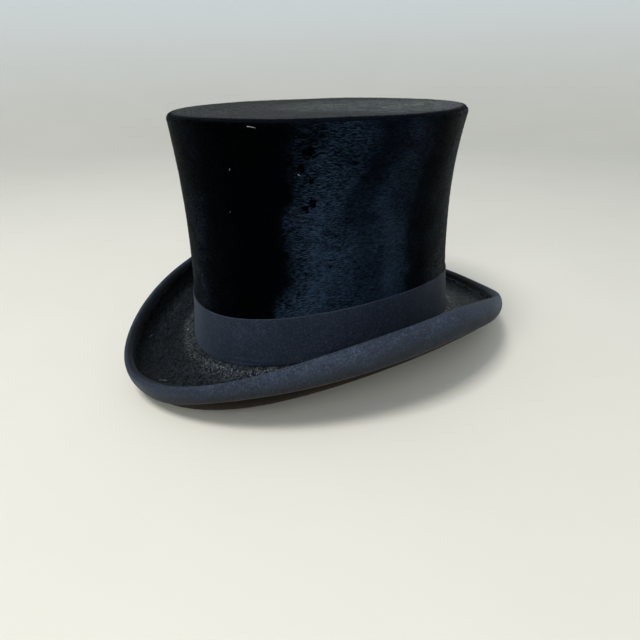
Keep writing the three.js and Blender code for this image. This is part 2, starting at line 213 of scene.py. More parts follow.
def brim_frame(angle):
    """Where the brim starts at the crown's foot, its direction outwards and its reach."""
    foot = crown_point(angle, 0.0, 0.0)
    cos, sin = np.cos(angle), np.sin(angle)
    power = 2 / np.where(cos > 0, FRONT_ROUNDNESS, BACK_ROUNDNESS)
    rim = np.stack([BRIM_HALF_LENGTH * np.sign(cos) * np.abs(cos) ** power,
                    BRIM_HALF_WIDTH * np.sign(sin) * np.abs(sin) ** power], -1)
    outward = rim - foot[..., :2]
    reach = np.linalg.norm(outward, axis=-1)
    return foot, outward / reach[..., None], reach


def curl_at(angle):
    """Radius and sweep of the brim's curl, and how far out from the crown's foot it starts."""
    front = np.cos(angle) > 0
    side = np.abs(np.sin(angle)) ** CURL_POWER
    ends = (np.where(front, *pair) for pair in zip(FRONT_CURL, BACK_CURL))
    radius, sweep = (end + (at_side - end) * side for end, at_side in zip(ends, SIDE_CURL))
    return radius, sweep, brim_frame(angle)[2] - radius * np.sin(np.minimum(sweep, math.pi / 2))


def brim_length(angle):
    """Length of the brim from the rim's edge to the ledge at the crown's foot."""
    radius, sweep, start = curl_at(angle)
    return radius * sweep + start - SEAT


def brim_line(angle, from_rim):
    """(distance out from the crown's foot, height) of the brim's lowest skin."""
    radius, sweep, start = curl_at(angle)
    low = SIDE_RISE * np.abs(np.sin(angle)) ** RISE_POWER
    low = low - CLOTH_FACE * np.clip(-np.cos(angle), 0, None) ** 2
    ledge = foot_height(angle) - BRIM_PLUSH_FACE
    turn = sweep - from_rim / radius
    out = np.clip(1 - (from_rim - radius * sweep) / (start - SEAT), 0, 1)
    beyond = np.clip(from_rim - brim_length(angle), 0, None)
    r = np.where(turn > 0, start + radius * np.sin(turn), SEAT + (start - SEAT) * out - beyond)
    flat_z = ledge + (low - ledge) * np.sin(out * math.pi / 2)
    return r, np.where(turn > 0, low + radius * (1 - np.cos(turn)), flat_z)


def brim_point(angle, from_rim, depth):
    """Points of the brim at a distance from the rim's edge and a depth above its lowest skin."""
    angle, from_rim, depth = np.broadcast_arrays(angle, from_rim, depth)
    step = 0.4
    r, z = brim_line(angle, from_rim)
    r_out, z_out = brim_line(angle, from_rim - step)
    r_in, z_in = brim_line(angle, from_rim + step)
    size = np.hypot(r_out - r_in, z_out - z_in)
    r = r - depth * (z_out - z_in) / size
    z = z + depth * (r_out - r_in) / size
    foot, outward, _ = brim_frame(angle)
    flat = foot[..., :2] + outward * r[..., None]
    return np.concatenate([flat, z[..., None]], -1)


# ---- small unevenness
#
# Each wave and each scatter of fibres has a seed of its own, so that none depends on another.


def ripple(angle, across, size, seed, turns, climb, count):
    """The sum of so many random waves, about as high as size, that closes on itself round the hat.

    turns holds the least and most waves round the hat, and climb the most radians of wave in a
    millimetre across.
    """
    draw = np.random.default_rng(seed)
    total = 0.0
    for _ in range(count):
        wave = draw.integers(turns[0], turns[1] + 1) * angle + draw.uniform(-climb, climb) * across
        total = total + np.sin(wave + draw.uniform(0, TAU))
    return size * total * math.sqrt(0.5 / count)


def ease(value, start, end):
    """0 before start, 1 after end and a smooth step between them."""
    share = np.clip((value - start) / (end - start), 0, 1)
    return share * share * (3 - 2 * share)


def crown_dent(angle, height):
    """Slow hollows and swells of an old crown, as a depth."""
    return ripple(angle, height, size=0.13, seed=3, turns=(1, 6), climb=0.045, count=16)


def crown_ruffle(angle, height, share):
    """Clumps of brushed silk on the crown, as a depth; the band presses them flat."""
    fine = ripple(angle, height, size=0.05, seed=5, turns=(40, 150), climb=1.3, count=70)
    coarse = ripple(angle, height, size=0.045, seed=6, turns=(12, 40), climb=0.5, count=40)
    return (fine + coarse) * ease(share, BAND_TOP_SHARE, BAND_TOP_SHARE + 0.04)


def tip_dent(x, y):
    """Slow waves of the flat tip, as a height."""
    return 0.22 * np.sin(x * 0.031 + 0.8) * np.sin(y * 0.037 + 1.9) + 0.12 * np.sin(x * 0.071 - y * 0.053)


# ---- meshes


def mesh_object(name, points, faces, uvs=None):
    """Makes an object from points in millimetres, faces and, for each face corner, its UV."""
    mesh = bpy.data.meshes.new(name)
    mesh.vertices.add(len(points))
    mesh.vertices.foreach_set("co", (points * METRE).astype(np.float32).ravel())
    mesh.loops.add(faces.size)
    mesh.loops.foreach_set("vertex_index", faces.astype(np.int32).ravel())
    mesh.polygons.add(len(faces))
    mesh.polygons.foreach_set("loop_start", np.arange(0, faces.size, faces.shape[1], dtype=np.int32))
    mesh.polygons.foreach_set("use_smooth", np.ones(len(faces), bool))
    if uvs is not None:
        layer = mesh.uv_layers.new(name="Sheet")
        layer.data.foreach_set("uv", uvs.astype(np.float32).ravel())
    mesh.update(calc_edges=True)
    mesh.validate()
    obj = bpy.data.objects.new(name, mesh)
    bpy.context.scene.collection.objects.link(obj)
    return obj


@contextmanager
def edited(obj):
    """Gives an object's mesh as a bmesh and puts it back afterwards."""
    work = bmesh.new()
    work.from_mesh(obj.data)
    yield work
    work.to_mesh(obj.data)
    work.free()


def settle(obj, merge=False):
    """Merges points that meet, if asked, and turns all faces outwards."""
    with edited(obj) as work:
        if merge:
            bmesh.ops.remove_doubles(work, verts=work.verts, dist=1e-6)
        if work.calc_volume(signed=True) < 0:
            bmesh.ops.reverse_faces(work, faces=work.faces)
    return obj


def fill_holes(obj, reach=math.inf):
    """Closes the open edges that lie within a reach, in metres, of the middle."""
    with edited(obj) as work:
        edges = [edge for edge in work.edges if edge.is_boundary and edge.verts[0].co.length < reach]
        bmesh.ops.holes_fill(work, edges=edges, sides=0)
        bmesh.ops.recalc_face_normals(work, faces=work.faces)


def grid(rows, size, spans, across_count):
    """Faces and UVs between rows of points, each row a ring of so many points.

    u goes from 0 to 1 over the spans between rows, and v over across_count steps along a row.
    """
    row, k = np.meshgrid(np.arange(spans), np.arange(size), indexing="ij")
    nxt, m = (row + 1) % rows, (k + 1) % size
    faces = np.stack([row * size + k, nxt * size + k, nxt * size + m, row * size + m], -1)
    u = np.stack([row, row + 1, row + 1, row], -1) / spans
    v = np.stack([k, k, k + 1, k + 1], -1) / across_count
    return faces.reshape(-1, 4), np.stack([u, v], -1).reshape(-1, 2)


def sheet_object(name, outer, inner, closed=True, poles=False):
    """A sheet with thickness, from rows of points of its outer face and of its inner face.

    A closed sheet joins its last row to its first. With poles, the rows' first points meet. The
    UVs run along the rows from 0 to 1 in u, and across the outer face from 0 to 1 in v.
    """
    loop = joined(outer, inner[:, ::-1])
    rows, size = loop.shape[:2]
    faces, uvs = grid(rows, size, rows if closed else rows - 1, outer.shape[1] - 1)
    if not closed:
        faces, uvs = with_ends(faces, uvs, rows, size)
    return settle(mesh_object(name, loop.reshape(-1, 3), faces, uvs), poles)


def with_ends(faces, uvs, rows, size):
    """Adds the end faces of an open sheet whose outer and inner rows have as many points."""
    k = np.arange(size // 2 - 1)
    first = np.stack([k, k + 1, size - 2 - k, size - 1 - k], -1)
    last = (rows - 1) * size + first[:, ::-1]
    ends = np.concatenate([first, last])
    return np.concatenate([faces, ends]), np.concatenate([uvs, np.zeros((ends.size, 2))])


def tube_object(name, centres, sides, ups, radii, corners=6, closed=True):
    """Round threads, one for each row of centres, closed into a ring or with capped ends.

    sides and ups are the directions across each thread, and radii its radii at the centres.
    """
    turn = np.arange(corners) * TAU / corners
    ring = np.cos(turn)[:, None] * sides[..., None, :] + np.sin(turn)[:, None] * ups[..., None, :]
    points = centres[..., None, :] + ring * np.asarray(radii)[..., None, None]
    threads, length = centres.shape[:2]
    faces, uvs = grid(length, corners, length if closed else length - 1, corners)
    faces = (np.arange(threads)[:, None, None] * length * corners + faces).reshape(-1, 4)
    obj = mesh_object(name, points.reshape(-1, 3), faces, np.tile(uvs, (threads, 1)))
    if not closed:
        fill_holes(obj)
    return settle(obj)


def fibre_object(name, roots, headings, ups, lengths, widths, bends, lift):
    """Many closed fibres of three sides, each tapering from its root to a point.

    They lie along their headings, bend sideways by a share of their length, and their points
    stand above the surface by lift. widths are half widths at their roots.
    """
    sides = np.cross(ups, headings)

    def centre(share):
        reach = headings * (lengths * share)[:, None] + sides * (lengths * bends * share * share)[:, None]
        return roots + reach + ups * lift * share

    corners = []
    for share in FIBRE_STATIONS:
        radius = (widths * (1 - 0.75 * share))[:, None]
        middle = centre(share)
        corners += [middle - sides * radius, middle + ups * radius * 0.7, middle + sides * radius]
    corners.append(centre(1.0))
    points = np.stack(corners, 1)
    faces = [(0, 1, 2)]
    for k, m in ((0, 1), (1, 2), (2, 0)):
        for ring in (0, 3):
            faces += [(ring + k, ring + 3 + k, ring + 3 + m), (ring + k, ring + 3 + m, ring + m)]
        faces.append((6 + k, 9, 6 + m))
    first = np.arange(len(points))[:, None, None] * points.shape[1]
    return settle(mesh_object(name, points.reshape(-1, 3), (first + np.array(faces)).reshape(-1, 3)))


def angles_around(count=AROUND):
    """Evenly spaced angles as a column, one for each row of a sheet."""
    return np.arange(count)[:, None] * TAU / count


def across(start, end, count):
    """A row of so many evenly spaced values from start to end, which may be columns."""
    return start + (end - start) * np.linspace(0, 1, count)[None, :]


def joined(*parts):
    """Stretches of points, each row's one after the other."""
    return np.concatenate(parts, 1)


def unit(vectors):
    return vectors / np.linalg.norm(vectors, axis=-1, keepdims=True)


def shade(tone, share):
    """A darker form of a tone."""
    return tuple(share * part for part in tone)


def finish_piece(obj, slot, material, *nodes):
    """Puts a finished piece on the hat's one body, with its material and the nodes it replaces."""
    obj.data.materials.clear()
    obj.data.materials.append(material)
    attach(obj, "root")
    if nodes:
        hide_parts(*nodes)
    return obj


# ---- material nodes


class Value:
    """What a node of a look gives. Sums and products with it add nodes to that look."""

    def __init__(self, look, socket):
        self.look = look
        self.socket = socket

    def __add__(self, other):
        return self.look.maths("ADD", self, other)

    def __sub__(self, other):
        return self.look.maths("SUBTRACT", self, other)

    def __rsub__(self, other):
        return self.look.maths("SUBTRACT", other, self)

    def __mul__(self, other):
        return self.look.maths("MULTIPLY", self, other)

    def spread(self, low, high, to_low=0, to_high=1):
        """Takes values from low to high onto to_low to to_high, smoothly at both ends."""
        inputs = {"Value": self, "From Min": low, "From Max": high, "To Min": to_low, "To Max": to_high}
        return self.look.node("MapRange", inputs, interpolation_type="SMOOTHSTEP")

    def between(self, at_zero, at_one):
        """Takes values from 0 to 1 onto two others, smoothly at both ends."""
        return self.spread(0, 1, at_zero, at_one)


class Look:
    """One material, its node tree built up in small named steps."""

    def __init__(self, name):
        self.material = bpy.data.materials.new(name)
        self.material.use_nodes = True
        self.tree = self.material.node_tree
        self.shader = self.tree.nodes["Principled BSDF"]

    def feed(self, socket, value):
        """Links a node's value to a socket, or sets a plain one."""
        if isinstance(value, Value):
            self.tree.links.new(value.socket, socket)
        elif socket.type == "RGBA":
            socket.default_value = (*value, 1)
        else:
            socket.default_value = value

    def node(self, kind, inputs, output=0, **settings):
        """Adds a node and gives one of its outputs."""
        made = self.tree.nodes.new("ShaderNode" + kind)
        for key, value in settings.items():
            setattr(made, key, value)
        for key, value in inputs.items():
            self.feed(made.inputs[key], value)
        return Value(self, made.outputs[output])

    def surface(self, **inputs):
        """Sets the shader's inputs, named with underscores for spaces, and gives the material."""
        for key, value in inputs.items():
            self.feed(self.shader.inputs[key.replace("_", " ")], value)
        return self.material

    def maths(self, operation, first, second=0):
        return self.node("Math", {0: first, 1: second}, operation=operation)

    def mix(self, share, first, second):
        return self.node("Mix", {0: share, 6: first, 7: second}, output=2, data_type="RGBA")

    def noise(self, place, scale, detail=3, roughness=0.55, distortion=0):
        inputs = {"Vector": place, "Scale": scale, "Detail": detail, "Roughness": roughness,
                  "Distortion": distortion}
        return self.node("TexNoise", inputs)

    def bump(self, height, deep, strength):
        """Bumps the surface by a height whose unit is so many millimetres deep."""
        return self.node("Bump", {"Height": height, "Distance": deep * METRE, "Strength": strength})

    def object_place(self):
        return self.node("TexCoord", {}, output=3)

    def sheet_axis(self, number):
        """How far round its sheet (0) or across it (1) a point is, from 0 to 1."""
        uv = self.node("UVMap", {}, uv_map="Sheet")
        return self.node("SeparateXYZ", {"Vector": uv}, output=number)

    def sheet_place(self, features_round, features_across):
        """A place for noise with so many features round a closed sheet and across it."""
        angle = self.sheet_axis(0) * TAU
        radius = features_round / TAU
        x = self.maths("COSINE", angle) * radius
        y = self.maths("SINE", angle) * radius
        return self.node("CombineXYZ", {"X": x, "Y": y, "Z": self.sheet_axis(1) * features_across})

    def grain(self, scale, **settings):
        """Noise in the hat's own space, so many features to a metre."""
        return self.noise(self.object_place(), scale, **settings)

    def sheet_noise(self, features, **settings):
        """Noise along a sheet, with so many features round it and across it."""
        return self.noise(self.sheet_place(*features), 1, **settings)

    def uneven(self, tone, darkest, scale):
        """A tone with places, so many to a metre, that are darker by up to a share."""
        return self.mix(self.grain(scale, detail=2).spread(0.3, 0.7), shade(tone, darkest), tone)

    def round_shares(self, stops, wander, lean=0):
        """A share that follows (angle in degrees, share) stops round a closed sheet.

        It wanders a little, and leans by a share of a turn from the sheet's foot to its top.
        """
        around = self.sheet_axis(0) - self.sheet_axis(1) * lean
        around = around + (self.sheet_noise((9, 3)) - 0.5) * (wander * 4)
        ramp = self.tree.nodes.new("ShaderNodeValToRGB")
        ramp.color_ramp.interpolation = "EASE"
        places = sorted(((angle % 360) / 360, share) for angle, share in stops)
        seam = (places[0][1] + places[-1][1]) / 2
        elements = ramp.color_ramp.elements
        for number, (place, share) in enumerate([(0, seam), *places, (1, seam)]):
            element = elements[number] if number < 2 else elements.new(place)
            element.position = place
            element.color = (share, share, share, 1)
        self.feed(ramp.inputs[0], around)
        return Value(self, ramp.outputs[0])

    def ribs(self, count, along=0):
        """Even ribs, 0 to 1 high, so many round a sheet or, with along 1, across it."""
        return self.maths("SINE", self.sheet_axis(along) * (TAU * count)) * 0.5 + 0.5

    def near(self, places, ragged=2.5):
        """1 in the middle of each spot and 0 outside it; a spot is (point, radius) in millimetres."""
        place = self.object_place()
        wobble = self.node("TexNoise", {"Vector": place, "Scale": 420, "Detail": 3}, output=1)
        centred = self.node("VectorMath", {0: wobble, 1: (0.5, 0.5, 0.5)}, operation="SUBTRACT")
        moved = self.node("VectorMath", {0: centred, 1: (ragged * METRE,) * 3}, operation="MULTIPLY")
        place = self.node("VectorMath", {0: place, 1: moved})
        total = None
        for point, radius in places:
            inputs = {0: place, 1: tuple(float(value) * METRE for value in point)}
            away = self.node("VectorMath", inputs, output=1, operation="DISTANCE")
            spot = away.spread(radius * METRE, 0.45 * radius * METRE)
            total = self.maths("MAXIMUM", total, spot) if total else spot
        return total


# Moth-eaten and bald spots of the crown: angle in degrees, height and radius in millimetres.
CROWN_SPOTS = ((-124, 126, 4.4), (-126.5, 123, 3), (-125.5, 153, 5), (-128, 145, 3.4),
               (-124.5, 139, 2.8), (-118, 88, 1.6), (-64, 96, 3), (20, 120, 3.2), (62, 141, 2.2),
               (118, 84, 2.6), (171, 133, 2.8))
# Painted highlight bands on the crown, by a share: colour painted lit bluish, gloss raised.
# This and the tables like it hold stops round the hat, each an angle in degrees and a share.
PAINTED_HIGHLIGHT_BANDS = ((-180, 0.36), (-168, 0.16), (-150, 0), (-142, 0.06), (-134, 0.55), (-125, 0.95),
           (-116, 0.80), (-109, 0.52), (-104, 0.57), (-98, 0.79), (-91, 0.60), (-84, 0.31), (-77, 0.25),
           (-69, 0.34), (-58, 0.40), (-46, 0.12), (-28, 0.80), (-6, 0.30), (18, 0.95), (40, 0.45),
           (58, 0.12), (84, 0.85), (104, 0.35), (124, 0.75), (146, 0.20), (166, 0.30))
# Where the brushed nap lies calm, without streaks and patches, and the painted highlight is smooth.
CALM_NAP_AND_SMOOTH_HIGHLIGHT = ((-180, 0.2), (-130, 0), (-116, 0.2), (-104, 0.85), (-84, 0.85), (-74, 0.3), (-60, 0.2), (60, 0.3))
# Where the crown's side is dusty, with a painted grey sheen there too, and where the brim is dusty.
DUST_AND_PAINTED_SHEEN = ((-180, 0), (-76, 0), (-67, 0.45), (-59, 1), (-48, 1), (-36, 0.1), (0, 0), (90, 0.2),
         (150, 0))
# On the brim's right front the dust is also painted light, making up for the crown's shadow there.
BRIM_DUST_AND_PAINTED_LIGHT = ((-180, 0.28), (-110, 0.28), (-88, 0.65), (-70, 1.20), (-30, 1.20), (0, 0.40), (90, 0.28),
              (150, 0.28))
# How pale the ribbons are round the hat. On the band it is painted light and shade:
# paler where it is painted as lit, darker where it is painted in shade.
BAND_PAINTED_LIGHT = ((-180, 0.62), (-150, 0.68), (-130, 0.56), (-112, 0.46), (-95, 0.24), (-68, 0.22),
              (-40, 0.50), (0, 0.60), (40, 0.85), (90, 0.30), (130, 0.60))
# The binding's paleness round the hat: palest on the wearer's right side, darkest at the back and at the
# front.
BINDING_PALENESS = ((-180, 0.26), (-162, 0.42), (-145, 0.74), (-120, 0.85), (-95, 1), (-78, 0.75),
                 (-64, 0.30), (-40, 0.10), (-8, 0.12), (14, 0.50), (50, 0.85), (90, 0.60), (140, 0.80))
NAP_TURN = 0.25  # a quarter turn lays the nap's hairs round the hat, so that light spreads up and down
# Dark nicks in the tip: place and radius in millimetres.
TIP_NICKS = ((-52, 35, 3.6), (-66, 38, 2.2), (-18, -48, 2.4), (40, 22, 3), (70, -12, 2), (8, 60, 2.6))
# The tip's wide rubbed place is also a painted highlight: the grey wear and the gloss are strongest in it.
TIP_WEAR_AND_PAINTED_HIGHLIGHT = ((30, -20, CROWN_TOP), 84)  # the wide place where the tip is rubbed, and its radius


def crown_look():
    """Silk plush, brushed round the crown: black, with bluish highlight bands painted into its colour."""
    look = Look("silk_plush")
    wild = look.round_shares(CALM_NAP_AND_SMOOTH_HIGHLIGHT, wander=0.02).between(1, 0.40)
    streaks = look.sheet_noise((240, 225), roughness=0.6, distortion=0.7)
    streaks = (streaks - 0.5) * wild + 0.5
    patches = 1 - look.sheet_noise((26, 7)).spread(0.34, 0.60, 0.38, 0) * wild
    hairs = look.sheet_noise((700, 520), detail=2)
    spots = look.near([(crown_spot(*place), radius) for *place, radius in CROWN_SPOTS], ragged=6)
    spots = (spots - (streaks - 0.5) * 2.2).spread(0.35, 1)
    # flat is the painted highlight: it follows the bands, dims towards the top and breaks into patches.
    flat = look.round_shares(PAINTED_HIGHLIGHT_BANDS, wander=0.022, lean=0.018)
    flat = flat * look.sheet_axis(1).spread(0.35, 0.95, 1, 0.58) * patches * (1 - spots)
    # shine is the painted highlight's lit streaks, in the colour as well as the gloss.
    shine = (streaks + flat * 0.20).spread(0.46, 0.84) * flat.spread(0, 0.6)
    mottle = look.sheet_noise((120, 40), detail=4, roughness=0.7)
    # dust is dust and a painted grey sheen at the crown's right front; it greys the colour and raises the
    # sheen.
    dust = look.round_shares(DUST_AND_PAINTED_SHEEN, wander=0.02) * mottle.spread(0.36, 0.62, 0.25, 1)
    # Painted highlight colours: dark blue over the bands and pale blue on their lit streaks.
    tone = look.mix(flat.spread(0.10, 1), (0.0002, 0.0003, 0.0005), (0.0010, 0.0023, 0.0052))
    tone = look.mix(shine, tone, (0.0160, 0.0305, 0.0545))
    tone = look.mix(dust, tone, (0.0120, 0.0145, 0.0145))
    raised = streaks + hairs * 0.25 - spots * 0.9
    return look.surface(
        Base_Color=tone, Specular_IOR_Level=shine.between(0.006, 0.12),
        Specular_Tint=(0.60, 0.80, 1), Roughness=hairs.spread(0.3, 0.7, 0.54, 0.66), Anisotropic=0.95,
        Tangent=look.node("Tangent", {}, direction_type="RADIAL", axis="Z"),
        Anisotropic_Rotation=streaks.spread(0.3, 0.7, NAP_TURN - 0.02, NAP_TURN + 0.02),
        Sheen_Weight=dust.between(0.010, 0.035), Sheen_Roughness=0.40,
        Sheen_Tint=(0.65, 0.90, 0.84), Normal=look.bump(raised, deep=0.5, strength=0.55))


def matted_nap(look, features, shift):
    """The nap of worn plush: a share that is 1 on a lit clump, and the clumps' height."""
    place = look.node("VectorMath", {0: look.sheet_place(*features), 1: (shift, 0, 0)})
    streaks = look.noise(place, 1, roughness=0.6, distortion=0.7)
    return streaks.spread(0.36, 0.66), streaks


def tip_look():
    """Worn plush of the tip, brushed in rings, grey where its nap is rubbed thin, most of all in a wide
    place painted as a highlight.
    """
    look = Look("silk_plush_worn")
    lit, streaks = matted_nap(look, (90, 95), 3)
    hairs = look.sheet_noise((300, 240), roughness=0.7)
    rings = look.sheet_noise((22, 48), detail=4, roughness=0.75)
    worn = look.grain(26, detail=5, roughness=0.65)
    blotches = look.grain(105, detail=5, roughness=0.75)
    # rubbed is wear and a painted highlight: it lightens the grey and raises the gloss inside the wide
    # place.
    rubbed = look.near([TIP_WEAR_AND_PAINTED_HIGHLIGHT], ragged=22)
    nicks = look.near([((x, y, CROWN_TOP), radius) for x, y, radius in TIP_NICKS])
    inner = look.sheet_axis(1).spread(0.87, 0.96, 1, 0.10)
    thin = worn.spread(0.38, 0.62) * 0.5 + rings.spread(0.42, 0.60) * 0.5
    thin = thin * blotches.spread(0.40, 0.58, 0.35, 1.25) * hairs.spread(0.38, 0.60, 0.45, 1.40)
    thin = thin * (1 - nicks) * inner * rubbed.between(0.22, 1)
    lustre = rubbed.between(0.40, 1) * rings.spread(0.42, 0.60, 0.55, 1) * inner
    tone = look.mix(thin, (0.0020, 0.0027, 0.0033), (0.027, 0.032, 0.0315))
    tone = look.mix(lit * 0.35, tone, (0.030, 0.035, 0.035))
    tone = look.mix(inner, (0.0018, 0.0034, 0.0062), tone)
    return look.surface(
        Base_Color=tone, Specular_IOR_Level=lit.between(0.10, 0.32) * lustre, Roughness=0.6,
        Sheen_Weight=thin.spread(0, 0.8, 0.05, 0.24) * lustre, Sheen_Roughness=0.38,
        Sheen_Tint=(0.80, 0.93, 0.92), Normal=look.bump(streaks + hairs * 0.3, deep=0.5, strength=0.75))


def brim_look():
    """Matted plush of the brim, dusty towards the binding and the crown's foot, and painted lighter on its
    right front.
    """
    look = Look("brim_plush")
    lit, streaks = matted_nap(look, (230, 48), 7)
    mat = look.grain(640, detail=4, roughness=0.75)
    patches = look.grain(42, detail=4)
    outwards = look.sheet_axis(1)
    edges = look.maths("MAXIMUM", outwards.spread(0.80, 0.93), outwards.spread(0.22, 0.04))
    # Dust near the edges, plus painted light on the right front where the crown's shadow falls.
    dust_and_painted_light = mat.spread(0.49, 0.61) * (edges + look.round_shares(BRIM_DUST_AND_PAINTED_LIGHT, wander=0.03))
    dust_and_painted_light = dust_and_painted_light * patches.spread(0.35, 0.65, 0.35, 1)
    tone = look.mix(lit * 0.6, (0.0010, 0.0016, 0.0024), (0.0066, 0.0094, 0.0124))
    tone = look.mix(dust_and_painted_light, tone, (0.052, 0.064, 0.070))
    return look.surface(
        Base_Color=tone, Specular_IOR_Level=lit.between(0.05, 0.28), Roughness=0.55,
        Specular_Tint=(0.8, 0.9, 1), Sheen_Weight=dust_and_painted_light * 0.25 + 0.04, Sheen_Roughness=0.4,
        Sheen_Tint=(0.78, 0.84, 0.86), Normal=look.bump(streaks * 0.6 + mat, deep=0.7, strength=0.6))


def ribbon_look(name, tone, worn_tone, ribs_round, dust, features, faded=None, fold=None):
    """Ribbed silk ribbon, faded and dusty in places, with a table of shares setting how pale it is round
    it.

    features are the specks round it and across it. A ribbon with a fold is much darker past it, a
    share across, and darker towards its lower edge before it, from soil and painted shade.
    """
    look = Look(name)
    threads = look.sheet_noise((ribs_round * 0.9, features[1] * 0.18), detail=2)
    rubbed = look.grain(48, detail=5, roughness=0.62)
    mottle = look.grain(210, detail=4, roughness=0.7)
    grain = look.grain(850, roughness=0.75)
    worn = rubbed.spread(0.34, 0.66, 0.35, 1) * mottle.spread(0.34, 0.66, 0.45, 1)
    if faded:
        # The table's shares raise the pale worn tone; for the band they are painted light and shade.
        worn = worn * look.round_shares(faded, wander=0.02)
    specks = grain.spread(0.50, 0.64) * look.sheet_noise(features).spread(0.36, 0.66)
    colour = look.mix(threads.spread(0.3, 0.7), shade(tone, 0.55), tone)
    colour = look.mix(worn, colour, worn_tone)
    colour = look.mix(grain.spread(0.52, 0.38, 0, 0.5), colour, shade(tone, 0.4))
    colour = look.mix(specks * dust, colour, (0.082, 0.104, 0.140))
    sheen = 0.10
    if fold:
        over = look.sheet_axis(1)
        # Darker towards the lower edge, under the rim: soil, and painted shade where the curl faces down.
        soil_and_painted_shade = over.spread(0.50, 0.06) * mottle.spread(0.36, 0.62, 0.45, 0.90)
        # Past the fold the colour is made much darker.
        colour = look.mix(over.spread(fold, fold + 0.04), colour, shade(tone, 0.16))
        colour = look.mix(soil_and_painted_shade, colour, (0.0095, 0.0105, 0.0125))
        sheen = over.spread(0.05, 0.45, 0.015, sheen)
    return look.surface(
        Base_Color=colour, Roughness=rubbed.spread(0.3, 0.7, 0.62, 0.82), Specular_IOR_Level=0.22,
        Sheen_Weight=sheen, Sheen_Roughness=0.40, Sheen_Tint=(0.70, 0.84, 1),
        Normal=look.bump(look.ribs(ribs_round) * 0.55 + grain * 0.6, deep=0.16, strength=0.8))


def thread_look(name, tone, twist):
    """Sewing thread with its twist."""
    look = Look(name)
    ply = look.maths("SINE", (look.sheet_axis(0) * twist + look.sheet_axis(1)) * TAU)
    return look.surface(Base_Color=look.uneven(tone, 0.6, 700), Roughness=0.7, Specular_IOR_Level=0.25,
                        Sheen_Weight=0.15, Normal=look.bump(ply, deep=0.06, strength=0.7))


def under_cloth_look():
    """Black wool cloth under the brim, gone brown, with its fine weave and lint."""
    look = Look("under_cloth")
    weave = look.ribs(1050) * look.ribs(70, along=1)
    fuzz = look.grain(1400, roughness=0.7)
    faded = look.grain(30, detail=4)
    colour = look.mix(faded.spread(0.35, 0.68), (0.0034, 0.0017, 0.0007), (0.0072, 0.0039, 0.0016))
    colour = look.mix(fuzz.spread(0.5, 0.75) * 0.4, colour, (0.015, 0.0100, 0.0058))
    return look.surface(
        Base_Color=colour, Roughness=0.92, Specular_IOR_Level=0.05, Sheen_Weight=0.05,
        Sheen_Roughness=0.5, Sheen_Tint=(0.9, 0.8, 0.66),
        Normal=look.bump(weave * 0.5 + fuzz, deep=0.3, strength=0.7))


def satin_look():
    """Ivory satin of the lining, yellowed and stained in places."""
    look = Look("lining_satin")
    threads = look.sheet_noise((1400, 30), detail=2)
    stains = look.grain(26, detail=5, roughness=0.6, distortion=0.4)
    colour = look.mix(stains.spread(0.45, 0.72), (0.56, 0.46, 0.32), (0.36, 0.25, 0.14))
    colour = look.mix(threads.spread(0.3, 0.7, 0, 0.25), colour, (0.66, 0.57, 0.42))
    return look.surface(
        Base_Color=colour, Roughness=threads.spread(0.3, 0.7, 0.30, 0.42), Specular_IOR_Level=0.5,
        Anisotropic=0.5, Sheen_Weight=0.1, Normal=look.bump(threads, deep=0.05, strength=0.5))


def leather_look():
    """Brown roan leather of the sweatband, darker and polished where it has been worn."""
    look = Look("sweat_leather")
    pores = look.node("TexVoronoi", {"Vector": look.object_place(), "Scale": 900})
    creases = look.sheet_noise((60, 9), detail=4, roughness=0.6, distortion=0.8)
    worn = look.grain(24, detail=4)
    colour = look.mix(worn.spread(0.35, 0.7), (0.150, 0.062, 0.024), (0.062, 0.025, 0.011))
    colour = look.mix(creases.spread(0.60, 0.72, 0, 0.6), colour, (0.030, 0.014, 0.007))
    return look.surface(
        Base_Color=colour, Roughness=worn.spread(0.3, 0.7, 0.50, 0.34), Specular_IOR_Level=0.45,
        Normal=look.bump(pores * 0.4 - creases * 0.5, deep=0.25, strength=0.5))


def tape_look():
    """Woven cotton tape."""
    look = Look("tape")
    raised = look.ribs(12) * look.ribs(24, along=1) + look.grain(1200, detail=2)
    return look.surface(
        Base_Color=look.uneven((0.05, 0.045, 0.04), 0.7, 1200), Roughness=0.85,
        Specular_IOR_Level=0.2, Sheen_Weight=0.2, Normal=look.bump(raised, deep=0.12, strength=0.7))


def goss_look():
    """Shellacked linen of the hidden body: brown varnish over an open weave."""
    look = Look("goss")
    waves = {"Vector": look.object_place(), "Scale": 260, "Distortion": 1}
    warp, weft = (look.node("TexWave", waves, bands_direction=way) for way in ("Z", "DIAGONAL"))
    varnish = look.grain(60, detail=4)
    colour = look.mix(varnish.spread(0.35, 0.7), (0.050, 0.022, 0.008), (0.115, 0.056, 0.020))
    return look.surface(
        Base_Color=colour, Roughness=varnish.spread(0.3, 0.7, 0.32, 0.6), Specular_IOR_Level=0.5,
        Normal=look.bump(warp * weft, deep=0.15, strength=0.6))


def fibre_look(name, tone, shine):
    """Loose hairs and lint, uneven in tone."""
    look = Look(name)
    return look.surface(Base_Color=look.uneven(tone, 0.45, 300), Roughness=0.45,
                        Specular_IOR_Level=shine, Specular_Tint=(0.62, 0.82, 1))


def stage_look():
    """Pale warm floor that turns to a pale cool wall, with a faint mottle."""
    look = Look("stage")
    height = look.node("SeparateXYZ", {"Vector": look.object_place()}, output=2)
    warm = look.mix(look.grain(6, detail=4), (0.70, 0.675, 0.60), (0.75, 0.725, 0.65))
    colour = look.mix(height.spread(0, 0.5), warm, (0.86, 0.89, 0.89))
    return look.surface(Base_Color=colour, Roughness=0.7, Specular_IOR_Level=0.2)


# ---- crown and tip


def crown_face(angle, share):
    """Depth of the plush's face on the crown's side."""
    height = height_at(angle, share)
    return PLUSH_FACE + crown_dent(angle, height) + crown_ruffle(angle, height, share)


